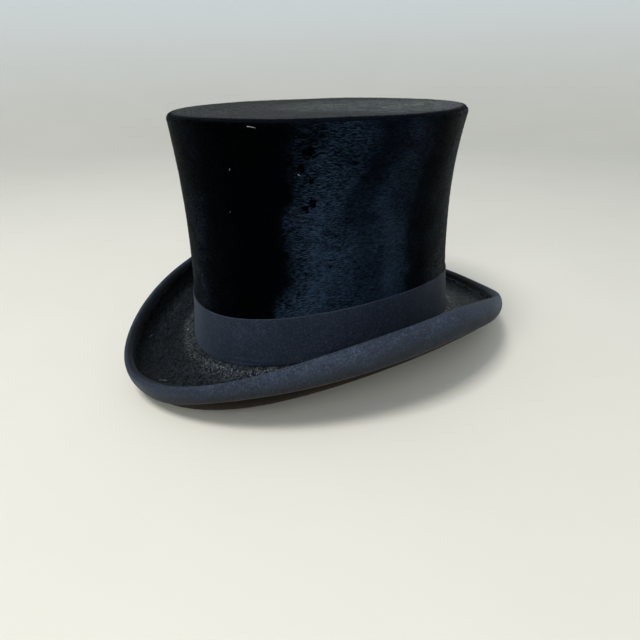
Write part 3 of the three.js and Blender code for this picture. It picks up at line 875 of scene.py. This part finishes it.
def crown_spot(degrees, height):
    """A point on the crown's side at an angle in degrees and a height."""
    angle = math.radians(degrees)
    return crown_point(angle, share_at(angle, height - foot_height(angle)), PLUSH_FACE)


def crown_edge_frame(angle):
    """Where the side ends and the round edge of the tip begins, and how far the side leans out there."""
    near, far = (crown_point(angle, share, PLUSH_FACE) for share in (LEAN_FROM, 1.0))
    flare = np.linalg.norm(far[..., :2], axis=-1) - np.linalg.norm(near[..., :2], axis=-1)
    lean = np.arctan2(flare, far[..., 2] - near[..., 2])
    start = share_at(angle, CROWN_TOP - EDGE_ROUND * (1 + np.sin(lean)) - foot_height(angle))
    return start, lean


def crown_edge_point(angle, turn_share, back=0.0):
    """Points over the round edge: 0 at the side's end, 1 where the flat tip begins."""
    start, lean = crown_edge_frame(angle)
    sunk = crown_face(angle, start) - PLUSH_FACE
    radius = EDGE_ROUND - back
    turn = -lean + (math.pi / 2 + lean) * turn_share
    centre = crown_point(angle, start, PLUSH_FACE + EDGE_ROUND * np.cos(lean))
    outline = crown_point(angle, start, 0.0) - crown_point(angle, start, 1.0)
    flat = centre[..., :2] + outline[..., :2] * ((radius - sunk) * np.cos(turn))[..., None]
    height = CROWN_TOP - EDGE_ROUND - sunk * (1 - turn_share) + radius * np.sin(turn)
    height = height + tip_dent(flat[..., 0], flat[..., 1]) * turn_share ** 2
    return np.concatenate([flat, height[..., None]], -1)


def crown_plush():
    angle = angles_around(CROWN_AROUND)
    start, _ = crown_edge_frame(angle)
    shares = across(FOOT_SHARE, start, 150)
    side = crown_point(angle, shares, crown_face(angle, shares))
    edge = crown_edge_point(angle, across(0.1, EDGE_SEAM - 0.01, 6))
    back = crown_point(angle, across(FOOT_SHARE, start, 14), PLUSH_BACK)
    back_edge = crown_edge_point(angle, across(0.15, EDGE_SEAM - 0.01, 2), PLUSH_THICK)
    return sheet_object("crown_plush", joined(side, edge), joined(back, back_edge))


def tip_disc(edge, level, rings):
    """Rings of points from the tip's middle out to the start of its round edge."""
    middle = np.array([0.0, 0.0, level])
    flat = middle + (edge[:, :1] - middle) * np.linspace(0, 1, rings)[None, :-1, None]
    flat[..., 2] = level + tip_dent(flat[..., 0], flat[..., 1])
    return flat


def tip_plush():
    angle = angles_around(CROWN_AROUND)
    edge = crown_edge_point(angle, across(1.0, EDGE_SEAM + 0.01, 7))
    back_edge = crown_edge_point(angle, across(1.0, EDGE_SEAM + 0.01, 3), PLUSH_THICK)
    outer = joined(tip_disc(edge, CROWN_TOP, 60), edge)
    inner = joined(tip_disc(back_edge, CROWN_TOP - PLUSH_THICK, 10), back_edge)
    return sheet_object("tip_plush", outer, inner, poles=True)


def surface_frame(place, angle, distance, depth):
    """Points of a surface with their directions along it, round the hat, and out of it."""
    step = 1e-3
    point = place(angle, distance, depth)
    along = unit(place(angle + step, distance, depth) - place(angle - step, distance, depth))
    out = unit(place(angle, distance, depth - 1.0) - place(angle, distance, depth))
    return point, along, out


def nap(name, place, angle, distance, depth, lengths, widths, seed, spread=0.22, lift=0.25, turn=0.0):
    """Fibres lying round a surface, their lengths and half widths drawn between those given."""
    draw = np.random.default_rng(seed)
    point, along, out = surface_frame(place, angle, distance, depth)
    swing = turn + draw.normal(0.0, spread, len(angle))
    heading = along * np.cos(swing)[:, None] + np.cross(out, along) * np.sin(swing)[:, None]
    ranges = (lengths, widths, FIBRE_BENDS)
    lengths, widths, bends = (draw.uniform(*ends, len(angle)) for ends in ranges)
    return fibre_object(name, point, heading, out, lengths, widths, bends, lift)


def strewn(count, seed):
    """A random generator and the angles it draws first, one for each fibre."""
    draw = np.random.default_rng(seed)
    return draw, draw.uniform(0, TAU, count)


def crown_nap():
    """Loose wisps of silk brushed round the crown's side."""
    draw, angle = strewn(CROWN_WISPS, seed=21)
    share = draw.uniform(BAND_TOP_SHARE + 0.01, 0.955, CROWN_WISPS)
    depth = crown_face(angle, share) + 0.04
    return nap("crown_nap", crown_point, angle, share, depth, (2.0, 4.8), (0.07, 0.16), seed=22)


def crown_edge_wisps():
    """Short wisps over the round edge of the tip."""
    draw, angle = strewn(EDGE_WISPS, seed=25)
    turn = draw.uniform(0.0, 1.0, EDGE_WISPS)
    return nap("crown_edge_wisps", crown_edge_point, angle, turn, 0.03, (1.5, 3.2), (0.06, 0.12), seed=26)


def tip_place(angle, share, depth):
    """Points of the flat tip at a share of the way from its middle to its round edge."""
    point = crown_edge_point(angle, 1.0) * np.stack([share, share, np.ones_like(share)], -1)
    point[..., 2] = CROWN_TOP + tip_dent(point[..., 0], point[..., 1]) - depth
    return point


def tip_nap():
    """Wisps brushed in rings on the tip."""
    draw, angle = strewn(TIP_WISPS, seed=31)
    share = np.sqrt(draw.uniform(0.01, 0.98, TIP_WISPS))
    return nap("tip_nap", tip_place, angle, share, 0.04, (1.6, 4.2), (0.06, 0.13), seed=32)


# ---- brim


def brim_relief(angle, from_rim):
    """Matted nap of the brim's top, as a height."""
    fine = ripple(angle, from_rim, size=0.07, seed=12, turns=(30, 170), climb=1.1, count=60)
    coarse = ripple(angle, from_rim, size=0.05, seed=13, turns=(8, 40), climb=0.4, count=30)
    return fine + coarse


def brim_sheet(name, face, back, beyond, relief=None):
    """A layer of the brim between two depths, from just inside its rim to beyond the crown's foot."""
    angle = angles_around()
    reach = brim_length(angle) + SEAT + beyond
    distance = across(reach, BRIM_SHEET_START, 84)
    raised = relief(angle, distance) if relief else 0.0
    lower = brim_point(angle, distance, face + raised)
    upper = brim_point(angle, across(reach, BRIM_SHEET_START, 28), back)
    return sheet_object(name, lower, upper)


def pucker(angle, from_rim):
    """Faint puckers of the binding between its stitches, as a height."""
    return ripple(angle, from_rim, size=0.05, seed=15, turns=(60, 230), climb=0.22, count=40)


def binding_under(angle):
    """How wide the binding is below; it is pulled in on the wearer's right."""
    centre, half_width, pull = BINDING_PULL
    return BINDING_UNDER - pull * np.exp(-(signed(angle - centre) / half_width) ** 2)


def binding_edge(angle, beyond, depth):
    """Brim points with their distance counted from the binding's lower edge."""
    return brim_point(angle, binding_under(angle) + beyond, depth)


def brim_binding():
    angle = angles_around(BINDING_AROUND)
    width = binding_under(angle)
    under, over = across(width, 0.0, 30), across(0.3, BINDING_OVER, 12)
    lower = brim_point(angle, under, np.abs(pucker(angle, under)))
    rim = fold_points(angle, across(0, 1, 8), 0.0, BINDING_TOP_FACE)
    upper = brim_point(angle, over, BINDING_TOP_FACE + pucker(angle, over))
    back_under = brim_point(angle, across(width, 0.6, 14), BINDING_BACK)
    back_over = brim_point(angle, across(0.6, BINDING_OVER, 8), BINDING_TOP_BACK)
    return sheet_object("binding", joined(lower, rim, upper), joined(back_under, back_over))


def fold_points(angle, share, low, high):
    """Half-round fold over the rim's edge between two depths."""
    radius = (high - low) / 2
    turn = math.pi * share[:, 1:-1]
    depth = (low + high) / 2 - radius * np.cos(turn)
    return brim_point(angle, -FOLD_REACH * radius * np.sin(turn), depth)


def stitch_row(name, place, distance, depth, seed, count=300, length=1.5, radius=0.17):
    """Running stitches round a surface: so many, each this long and with round, tapering ends."""
    draw = np.random.default_rng(seed)
    middle = (np.arange(count) + draw.uniform(-0.08, 0.08, count)) * TAU / count
    point, along, out = surface_frame(place, middle, distance, depth)
    steps = np.linspace(-0.5, 0.5, 7)
    sag = 0.6 * radius * (2 * steps) ** 2
    centres = point[:, None] + along[:, None] * (length * steps)[None, :, None]
    centres = centres - out[:, None] * sag[None, :, None]
    radii = radius * np.sqrt(np.clip(1.02 - (2 * steps) ** 4, 0.05, 1))
    return tube_object(name, centres, np.cross(out, along)[:, None], out[:, None], radii, closed=False)


def binding_selvedge():
    """The corded edge of the binding on the brim's underside."""
    angle = angles_around(BINDING_AROUND)[:, 0]
    point, along, out = surface_frame(binding_edge, angle, 0.25, 0.42)
    side = np.cross(out, along)
    return tube_object("binding_selvedge", point[None], side[None], out[None], 0.38, corners=8)


def brim_nap():
    """Short matted fibres on top of the brim."""
    draw, angle = strewn(BRIM_WISPS, seed=41)
    distance = BINDING_OVER + draw.uniform(0.0, 1.0, BRIM_WISPS) * (brim_length(angle) - BINDING_OVER)
    depth = BRIM_PLUSH_FACE + brim_relief(angle, distance) - 0.05
    return nap("brim_nap", brim_top, angle, distance, depth, (1.2, 3.4), (0.06, 0.13), seed=42,
               spread=0.6, lift=0.4)


def brim_top(angle, from_rim, depth):
    """Brim points with their depth counted so that the nap's outward side is up."""
    return brim_point(angle, from_rim, 2 * BRIM_PLUSH_FACE - depth)


def lint():
    """Pale dust fibres caught beside the binding and at the crown's foot."""
    draw, angle = strewn(LINT_COUNT, seed=51)
    at_rim = draw.uniform(0, 1, LINT_COUNT) < LINT_AT_RIM
    beside = np.abs(draw.normal(0.0, 1.3, LINT_COUNT))
    distance = np.where(at_rim, BINDING_OVER + 0.5 + beside, brim_length(angle) - 0.3 - 1.6 * beside)
    return nap("lint", brim_top, angle, distance, BRIM_PLUSH_FACE - 0.15, (0.5, 2.0), (0.09, 0.20),
               seed=52, spread=1.4, lift=0.35)


def long_hairs():
    """A few long pale hairs and threads, laid where an old hat catches them."""
    hairs = []
    for index, (degrees, distance, heading, length, on_crown) in enumerate(LONG_HAIRS):
        angle = np.array([math.radians(degrees)])
        if on_crown:
            place, span = crown_point, share_at(angle, distance - foot_height(angle))
            depth = crown_face(angle, span) - 0.12
        else:
            place, span, depth = brim_top, distance, BRIM_PLUSH_FACE - 0.35
        hairs.append(nap(f"long_hair_{index + 1}", place, angle, span, depth, (length, length + 0.01),
                         HAIR_HALF_WIDTH, seed=60 + index, spread=0.05, lift=0.5,
                         turn=math.radians(heading)))
    return hairs


# ---- band and bows


def band_relief(angle, rise):
    """How far the band stands off the crown: slow waves, and creases at its foot on the right."""
    waves = ripple(angle, rise, size=0.05, seed=17, turns=(10, 60), climb=0.12, count=40)
    creased = sum(np.exp(-((angle - centre) / width) ** 2) for centre, width in CREASES)
    drift = ripple(angle, rise, size=2.5, seed=18, turns=(6, 30), climb=0.05, count=20)
    folds = np.sin(rise * TAU / CREASE_PITCH + 5 * np.sin(3 * angle) + drift)
    return waves + CREASE_SIZE * creased * folds * np.exp(-((rise - CREASE_RISE) / CREASE_REACH) ** 2)


def band():
    angle = angles_around(BAND_AROUND)
    shares, back = (across(FOOT_SHARE, BAND_TOP_SHARE, count) for count in (44, 12))
    rise = (CROWN_TOP - foot_height(angle)) * shares
    depth = BAND_FACE + 0.05 + crown_dent(angle, height_at(angle, shares))
    depth = depth - band_relief(signed(angle), rise)
    back_depth = BAND_BACK + crown_dent(angle, height_at(angle, back))
    outer = crown_point(angle, shares, np.minimum(depth, BAND_BACK - 0.3))
    inner = crown_point(angle, back, np.maximum(back_depth, 0.02))
    return sheet_object("band", outer, inner)


def wall_point(bow, along, rise, reach):
    """Points on the wall that a bow is sewn to: along it, up from the crown's foot and off the wall."""
    at = bow.angle + along / bow.wall_radius
    return crown_point(at, share_at(at, rise), bow.depth - bow.outward * reach)


def folded_ribbon(name, bow, path, half_height, wave):
    """A ribbon whose middle line follows a path of (along, reach) and whose width stands up the wall."""
    ahead = np.gradient(path, axis=0)
    normal = unit(np.stack([-ahead[:, 1], ahead[:, 0]], -1))
    width = np.linspace(-1, 1, 22)[None, :]
    rise = bow.middle_rise + half_height[:, None] * width
    sway = wave * np.sin(math.pi * 1.5 * width + 0.25 * path[:, :1]) * ease(np.abs(path[:, :1]), 2.0, 8.0)
    lines = (path + normal * side * bow.ribbon / 2 for side in (1, -1))
    faces = [wall_point(bow, line[:, :1] + 0 * width, rise, line[:, 1:] + sway) for line in lines]
    return sheet_object(name, *faces, closed=False)


def bow_loop(name, bow, side):
    """One loop: flat against the wall, round at its end, and plump on the way back to the knot."""
    length, base, fold = bow.half_length, bow.ribbon, bow.fold
    out = np.linspace(0.6, length - 1.4, 26)
    back = out[::-1]
    turn = np.linspace(-math.pi / 2, math.pi / 2, 9)[1:-1]
    plump = bow.plump * np.sin(math.pi * back / length)
    path = np.concatenate([
        np.stack([out, np.full(out.shape, base)], -1),
        np.stack([out[-1] + fold * np.cos(turn), base + fold + fold * np.sin(turn)], -1),
        np.stack([back, base + 2 * fold + plump], -1),
    ])
    spread = np.clip(path[:, 0] / length, 0, 1)
    half = bow.middle_half + (bow.end_half - bow.middle_half) * spread
    path[:, 0] *= side
    return folded_ribbon(name, bow, path, half, bow.wave)


def bow_loops(name, bow, slot, material, node):
    """The two loops of a bow, finished."""
    loops = (bow_loop(f"{name}_{number}", bow, side) for number, side in ((1, 1), (2, -1)))
    return [finish_piece(loop, slot, material, node) for loop in loops]


def bow_knot(name, bow):
    """The short ribbon wrapped upright round the middle of a bow, with its soft pleats."""
    half, tall, reach, ribbon = bow.knot_half, bow.knot_height, bow.knot_reach, bow.ribbon
    turn = np.linspace(0, math.pi, 33)[:, None]
    spread = np.linspace(-1, 1, 25)[None, :]
    standing = np.sin(turn)
    squared = np.sign(np.cos(turn)) * np.abs(np.cos(turn)) ** 0.35
    pleat = 0.35 * ribbon * np.sin(3 * math.pi * spread + 0.6) * standing
    hollow = 0.10 * half * spread ** 2 * standing
    lifted = reach * standing ** 0.35 + pleat - hollow
    waist = half * spread * (1 - 0.08 * standing)
    outer = wall_point(bow, waist, bow.middle_rise - squared * tall, 0.15 + lifted)
    inner_rise = bow.middle_rise - squared * (tall - ribbon)
    inner = wall_point(bow, waist, inner_rise, 0.12 + lifted * (1 - ribbon / reach))
    return sheet_object(name, outer, inner, closed=False)


# ---- inside


def side_lining():
    angle = angles_around()
    start, _ = crown_edge_frame(angle)
    shares = across(LINING_BOTTOM_SHARE, start, 60)
    pleats = np.abs(ripple(angle, 0 * angle, size=0.35, seed=71, turns=(24, 52), climb=0.0, count=30))
    fall = ease(shares, SWEATBAND_TOP_SHARE - 0.02, SWEATBAND_TOP_SHARE + 0.12)
    outer = crown_point(angle, across(LINING_BOTTOM_SHARE, start, 12), LINING_BACK)
    inner = crown_point(angle, shares, LINING_FACE + pleats * fall)
    return sheet_object("satin_side", inner, outer)


def tip_lining():
    """The satin disc inside the tip, gathered in fine pleats towards its rim."""
    angle = angles_around(720)
    rim = crown_point(angle, 0.99, LINING_BACK)
    share = across(0, 1, 46)
    pleats = np.sin(TIP_PLEATS * angle + 1.3 * np.sin(5 * angle)) * share ** 1.5
    low = rim * share[..., None]
    low[..., 2] = LINING_TIP_TOP - 0.36 - 0.22 * (1 + pleats) * ease(share, 0.05, 0.4)
    top = rim * across(0, 1, 8)[..., None]
    top[..., 2] = LINING_TIP_TOP
    return sheet_object("satin_tip", low, top, poles=True)


def sweatband():
    """The leather band, with its open joint at the back and a soft, slightly curled upper edge."""
    angle = np.linspace(-math.pi + SWEATBAND_JOINT, math.pi - SWEATBAND_JOINT, AROUND)[:, None]
    shares = across(BASE_SHARE, SWEATBAND_TOP_SHARE, 42)
    height = 150 * shares  # near enough for the slow waves
    slack = ripple(angle, height, size=0.35, seed=74, turns=(2, 14), climb=0.03, count=20)
    slack = slack * ease(shares, 0.05, 0.3)
    lip = 0.7 * ease(shares, SWEATBAND_TOP_SHARE - 0.05, SWEATBAND_TOP_SHARE) ** 2
    inner = crown_point(angle, shares, LEATHER_FACE + np.abs(slack) + lip)
    outer = crown_point(angle, shares, LEATHER_BACK + 0.8 * np.abs(slack) + lip * 0.6)
    return sheet_object("leather_band", inner, outer, closed=False)


def reed_line(count):
    """Evenly spaced points along the reed, with their directions along it and out of the hat's wall."""
    angle = angles_around(count)[:, 0]
    return surface_frame(crown_point, angle, REED_SHARE, (LEATHER_BACK + LEATHER_FACE) / 2)


def reed_cover():
    """The thin leather sewn round the reed at the sweatband's lower edge."""
    point, _, out = reed_line(AROUND)
    return tube_object("reed_cover", point[None], out[None], UPWARDS, REED_RADIUS, corners=12)


def reed_stitches():
    """Whipping stitches that slant round the reed."""
    point, along, out = (part[:, None] for part in reed_line(REED_STITCHES))
    turn = np.linspace(-0.75, 0.75, 9)[:, None] * math.pi
    around = np.sin(turn) * UPWARDS - np.cos(turn) * out
    centres = point + around * (REED_RADIUS + 0.05) + along * 1.1 * turn / math.pi
    return tube_object("reed_stitches", centres, along, around, 0.16, closed=False)


def joint_tape():
    """The cotton tape behind the sweatband's joint."""
    half = JOINT_TAPE_HALF / WAIST_HALF_WIDTH
    angle = np.linspace(math.pi - half, math.pi + half, 22)[:, None]
    shares = across(0.02, 0.3, 40)
    inner = crown_point(angle, shares, TAPE_FACE)
    return sheet_object("tape", inner, crown_point(angle, shares, TAPE_BACK), closed=False)


# ---- the hat


def crown_and_tip():
    plush, worn = crown_look(), tip_look()
    wisp = fibre_look("wisps", (0.0004, 0.0006, 0.0010), shine=0.015)
    tip_wisp = fibre_look("tip_wisps", (0.055, 0.062, 0.062), shine=0.3)
    side = finish_piece(crown_plush(), "silk_plush", plush, "crown_side_plush")
    tip = finish_piece(tip_plush(), "silk_plush_worn", worn, "crown_tip_plush")
    finish_piece(crown_nap(), "silk_plush", wisp)
    finish_piece(crown_edge_wisps(), "silk_plush", wisp)
    finish_piece(tip_nap(), "silk_plush_worn", tip_wisp)


def brim():
    ribbon = ribbon_look("binding_ribbon", (0.009, 0.016, 0.032), (0.032, 0.045, 0.073), ribs_round=900,
                         dust=0.50, features=(300, 60), faded=BINDING_PALENESS, fold=BINDING_FOLD)
    thread = thread_look("binding_thread", (0.016, 0.019, 0.026), twist=3)
    selvedge = thread_look("binding_selvedge", (0.040, 0.032, 0.020), twist=900)
    plush = brim_sheet("brim_plush", BRIM_PLUSH_FACE, BRIM_PLUSH_BACK, 0.8, brim_relief)
    top = finish_piece(plush, "brim_plush", brim_look(), "brim_top_plush")
    cloth = brim_sheet("under_cloth", CLOTH_FACE, CLOTH_BACK, 3.2)
    under = finish_piece(cloth, "under_cloth", under_cloth_look(), "brim_under_cloth")
    binding = finish_piece(brim_binding(), "binding_ribbon", ribbon, "brim_binding")
    top_depth = BRIM_PLUSH_FACE * 2 - BINDING_TOP_FACE - 0.1
    top_row = stitch_row("binding_stitches_top", brim_top, BINDING_OVER - 0.7, top_depth, seed=81)
    under_row = stitch_row("binding_stitches_under", binding_edge, -0.9, 0.05, seed=82)
    finish_piece(top_row, "binding_ribbon", thread)
    finish_piece(under_row, "binding_ribbon", thread)
    edge = finish_piece(binding_selvedge(), "binding_ribbon", selvedge)
    finish_piece(brim_nap(), "brim_plush", fibre_look("brim_wisps", (0.017, 0.019, 0.021), shine=0.25))
    pale = fibre_look("lint", (0.36, 0.38, 0.38), shine=0.3)
    finish_piece(lint(), "brim_plush", pale)
    for hair in long_hairs():
        finish_piece(hair, "brim_plush", pale)


def band_and_bow():
    ribbon = ribbon_look("band_ribbon", (0.005, 0.011, 0.026), (0.023, 0.032, 0.055), ribs_round=600,
                         dust=0.30, features=(260, 60), faded=BAND_PAINTED_LIGHT)
    loops = ribbon_look("bow_ribbon", (0.007, 0.013, 0.028), (0.022, 0.031, 0.051), ribs_round=70,
                        dust=0.30, features=(60, 60))
    strip = finish_piece(band(), "band_ribbon", ribbon, "hat_band")
    for loop in bow_loops("bow_loop", BAND_BOW, "band_ribbon", loops, "band_bow_loops"):
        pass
    finish_piece(bow_knot("bow_knot", BAND_BOW), "band_ribbon", loops, "band_bow_knot")


def inside():
    satin, leather = satin_look(), leather_look()
    inner = ribbon_look("inner_ribbon", (0.020, 0.018, 0.022), (0.035, 0.032, 0.036), ribs_round=40,
                        dust=0.2, features=(40, 30))
    lining = finish_piece(side_lining(), "lining_silk", satin, "side_lining")
    disc = finish_piece(tip_lining(), "lining_silk", satin, "tip_lining")
    finish_piece(sweatband(), "sweat_leather", leather, "sweatband")
    finish_piece(reed_cover(), "sweat_leather", leather, "sweatband_reed")
    finish_piece(reed_stitches(), "sweat_leather", thread_look("reed_thread", (0.32, 0.27, 0.19), twist=2))
    finish_piece(joint_tape(), "cotton_tape", tape_look(), "sweatband_joint_tape")
    bow_loops("inner_bow_loop", INNER_BOW, "inner_ribbon", inner, "sweatband_bow")
    finish_piece(bow_knot("inner_bow_knot", INNER_BOW), "inner_ribbon", inner)


def hidden_body():
    """The goss body and boards stay as the CAD has them, with their shellacked finish."""
    goss = goss_look()
    for name in ("crown_side_shell", "crown_tip_board", "joint_strip", "brim_board"):
        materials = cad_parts[name].data.materials
        materials.clear()
        materials.append(goss)


# ---- camera, floor and light

CAMERA_PLACE = (-0.2076, -0.2842, 0.192)  # metres
CAMERA_HEADING = math.radians(35.63)  # from +Y towards +X
CAMERA_PITCH = math.radians(27.64)  # below the horizon
CAMERA_ROLL = math.radians(0.98)
CAMERA_LENS = 27.07

# The stage, in metres: a flat floor, a cove and a wall.
FLOOR_REACH = 1.1
COVE_RADIUS = 0.9
WALL_HEIGHT = 2.4
FLOOR_RINGS = 20
COVE_RINGS = 17
STAGE_STEPS = 96

HAT_MIDDLE = 0.1  # height in metres that the lights are set round
WORLD_STRENGTH = 0.50
# Each light: azimuth and elevation in degrees and distance in metres, size in metres, power in
# watts, and colour.
LIGHTS = (
    ("key", (-172, 66, 1.55), (0.5, 0.5), 17.0, (1.0, 0.99, 0.97)),
    ("front", (-135, 30, 1.5), (1.3, 0.7), 5.5, (0.98, 0.99, 1.0)),
)


def camera():
    data = bpy.data.cameras.new("photo_camera")
    data.lens = CAMERA_LENS
    data.sensor_width = 36
    data.clip_start, data.clip_end = 0.01, 50
    obj = bpy.data.objects.new("photo_camera", data)
    flat = math.cos(CAMERA_PITCH)
    ahead, aside = flat * math.cos(CAMERA_HEADING), flat * math.sin(CAMERA_HEADING)
    forward = Vector((aside, ahead, -math.sin(CAMERA_PITCH)))
    turn = forward.to_track_quat("-Z", "Y").to_matrix().to_4x4() @ Matrix.Rotation(-CAMERA_ROLL, 4, "Z")
    obj.matrix_world = Matrix.Translation(CAMERA_PLACE) @ turn
    bpy.context.scene.collection.objects.link(obj)
    bpy.context.scene.camera = obj


def stage():
    """A round floor that sweeps up into a wall on every side, so that all views have the same ground."""
    turn = across(0, math.pi / 2, COVE_RINGS + 1)[0, 1:]
    radius = np.concatenate([np.linspace(0.02, FLOOR_REACH, FLOOR_RINGS),
                             FLOOR_REACH + COVE_RADIUS * np.sin(turn), [FLOOR_REACH + COVE_RADIUS]])
    height = np.concatenate([np.zeros(FLOOR_RINGS), COVE_RADIUS * (1 - np.cos(turn)), [WALL_HEIGHT]])
    angles = angles_around(STAGE_STEPS)[:, 0]
    points = np.stack([np.outer(radius, np.cos(angles)), np.outer(radius, np.sin(angles)),
                       np.repeat(height[:, None], STAGE_STEPS, 1)], -1)
    faces, _ = grid(len(radius), STAGE_STEPS, len(radius) - 1, STAGE_STEPS)
    obj = mesh_object("stage", points.reshape(-1, 3) / METRE, faces)
    fill_holes(obj, FLOOR_REACH / 2)
    obj.data.materials.append(stage_look())


def around_hat(azimuth, elevation, distance):
    """A place at an azimuth (from +X to +Y) and elevation in degrees, and a distance in metres."""
    turn, rise = math.radians(azimuth), math.radians(elevation)
    flat = distance * math.cos(rise)
    height = distance * math.sin(rise) + HAT_MIDDLE
    return Vector((flat * math.cos(turn), flat * math.sin(turn), height))


def area_light(name, place, size, power, colour):
    data = bpy.data.lights.new(name, "AREA")
    data.shape = "RECTANGLE"
    data.size, data.size_y = size
    data.energy = power
    data.color = colour
    obj = bpy.data.objects.new(name, data)
    obj.location = place
    obj.rotation_mode = "QUATERNION"
    obj.rotation_quaternion = (Vector((0, 0, HAT_MIDDLE)) - place).to_track_quat("-Z", "Y")
    bpy.context.scene.collection.objects.link(obj)


def lights():
    world = bpy.data.worlds.new("studio")
    world.use_nodes = True
    sky = world.node_tree.nodes["Background"].inputs
    sky["Color"].default_value = (0.80, 0.88, 1.0, 1)
    sky["Strength"].default_value = WORLD_STRENGTH
    bpy.context.scene.world = world
    for name, place, size, power, colour in LIGHTS:
        area_light(name, around_hat(*place), size, power, colour)
    bpy.context.scene.view_settings.view_transform = "Standard"


crown_and_tip()
brim()
band_and_bow()
inside()
hidden_body()
camera()
stage()
lights()
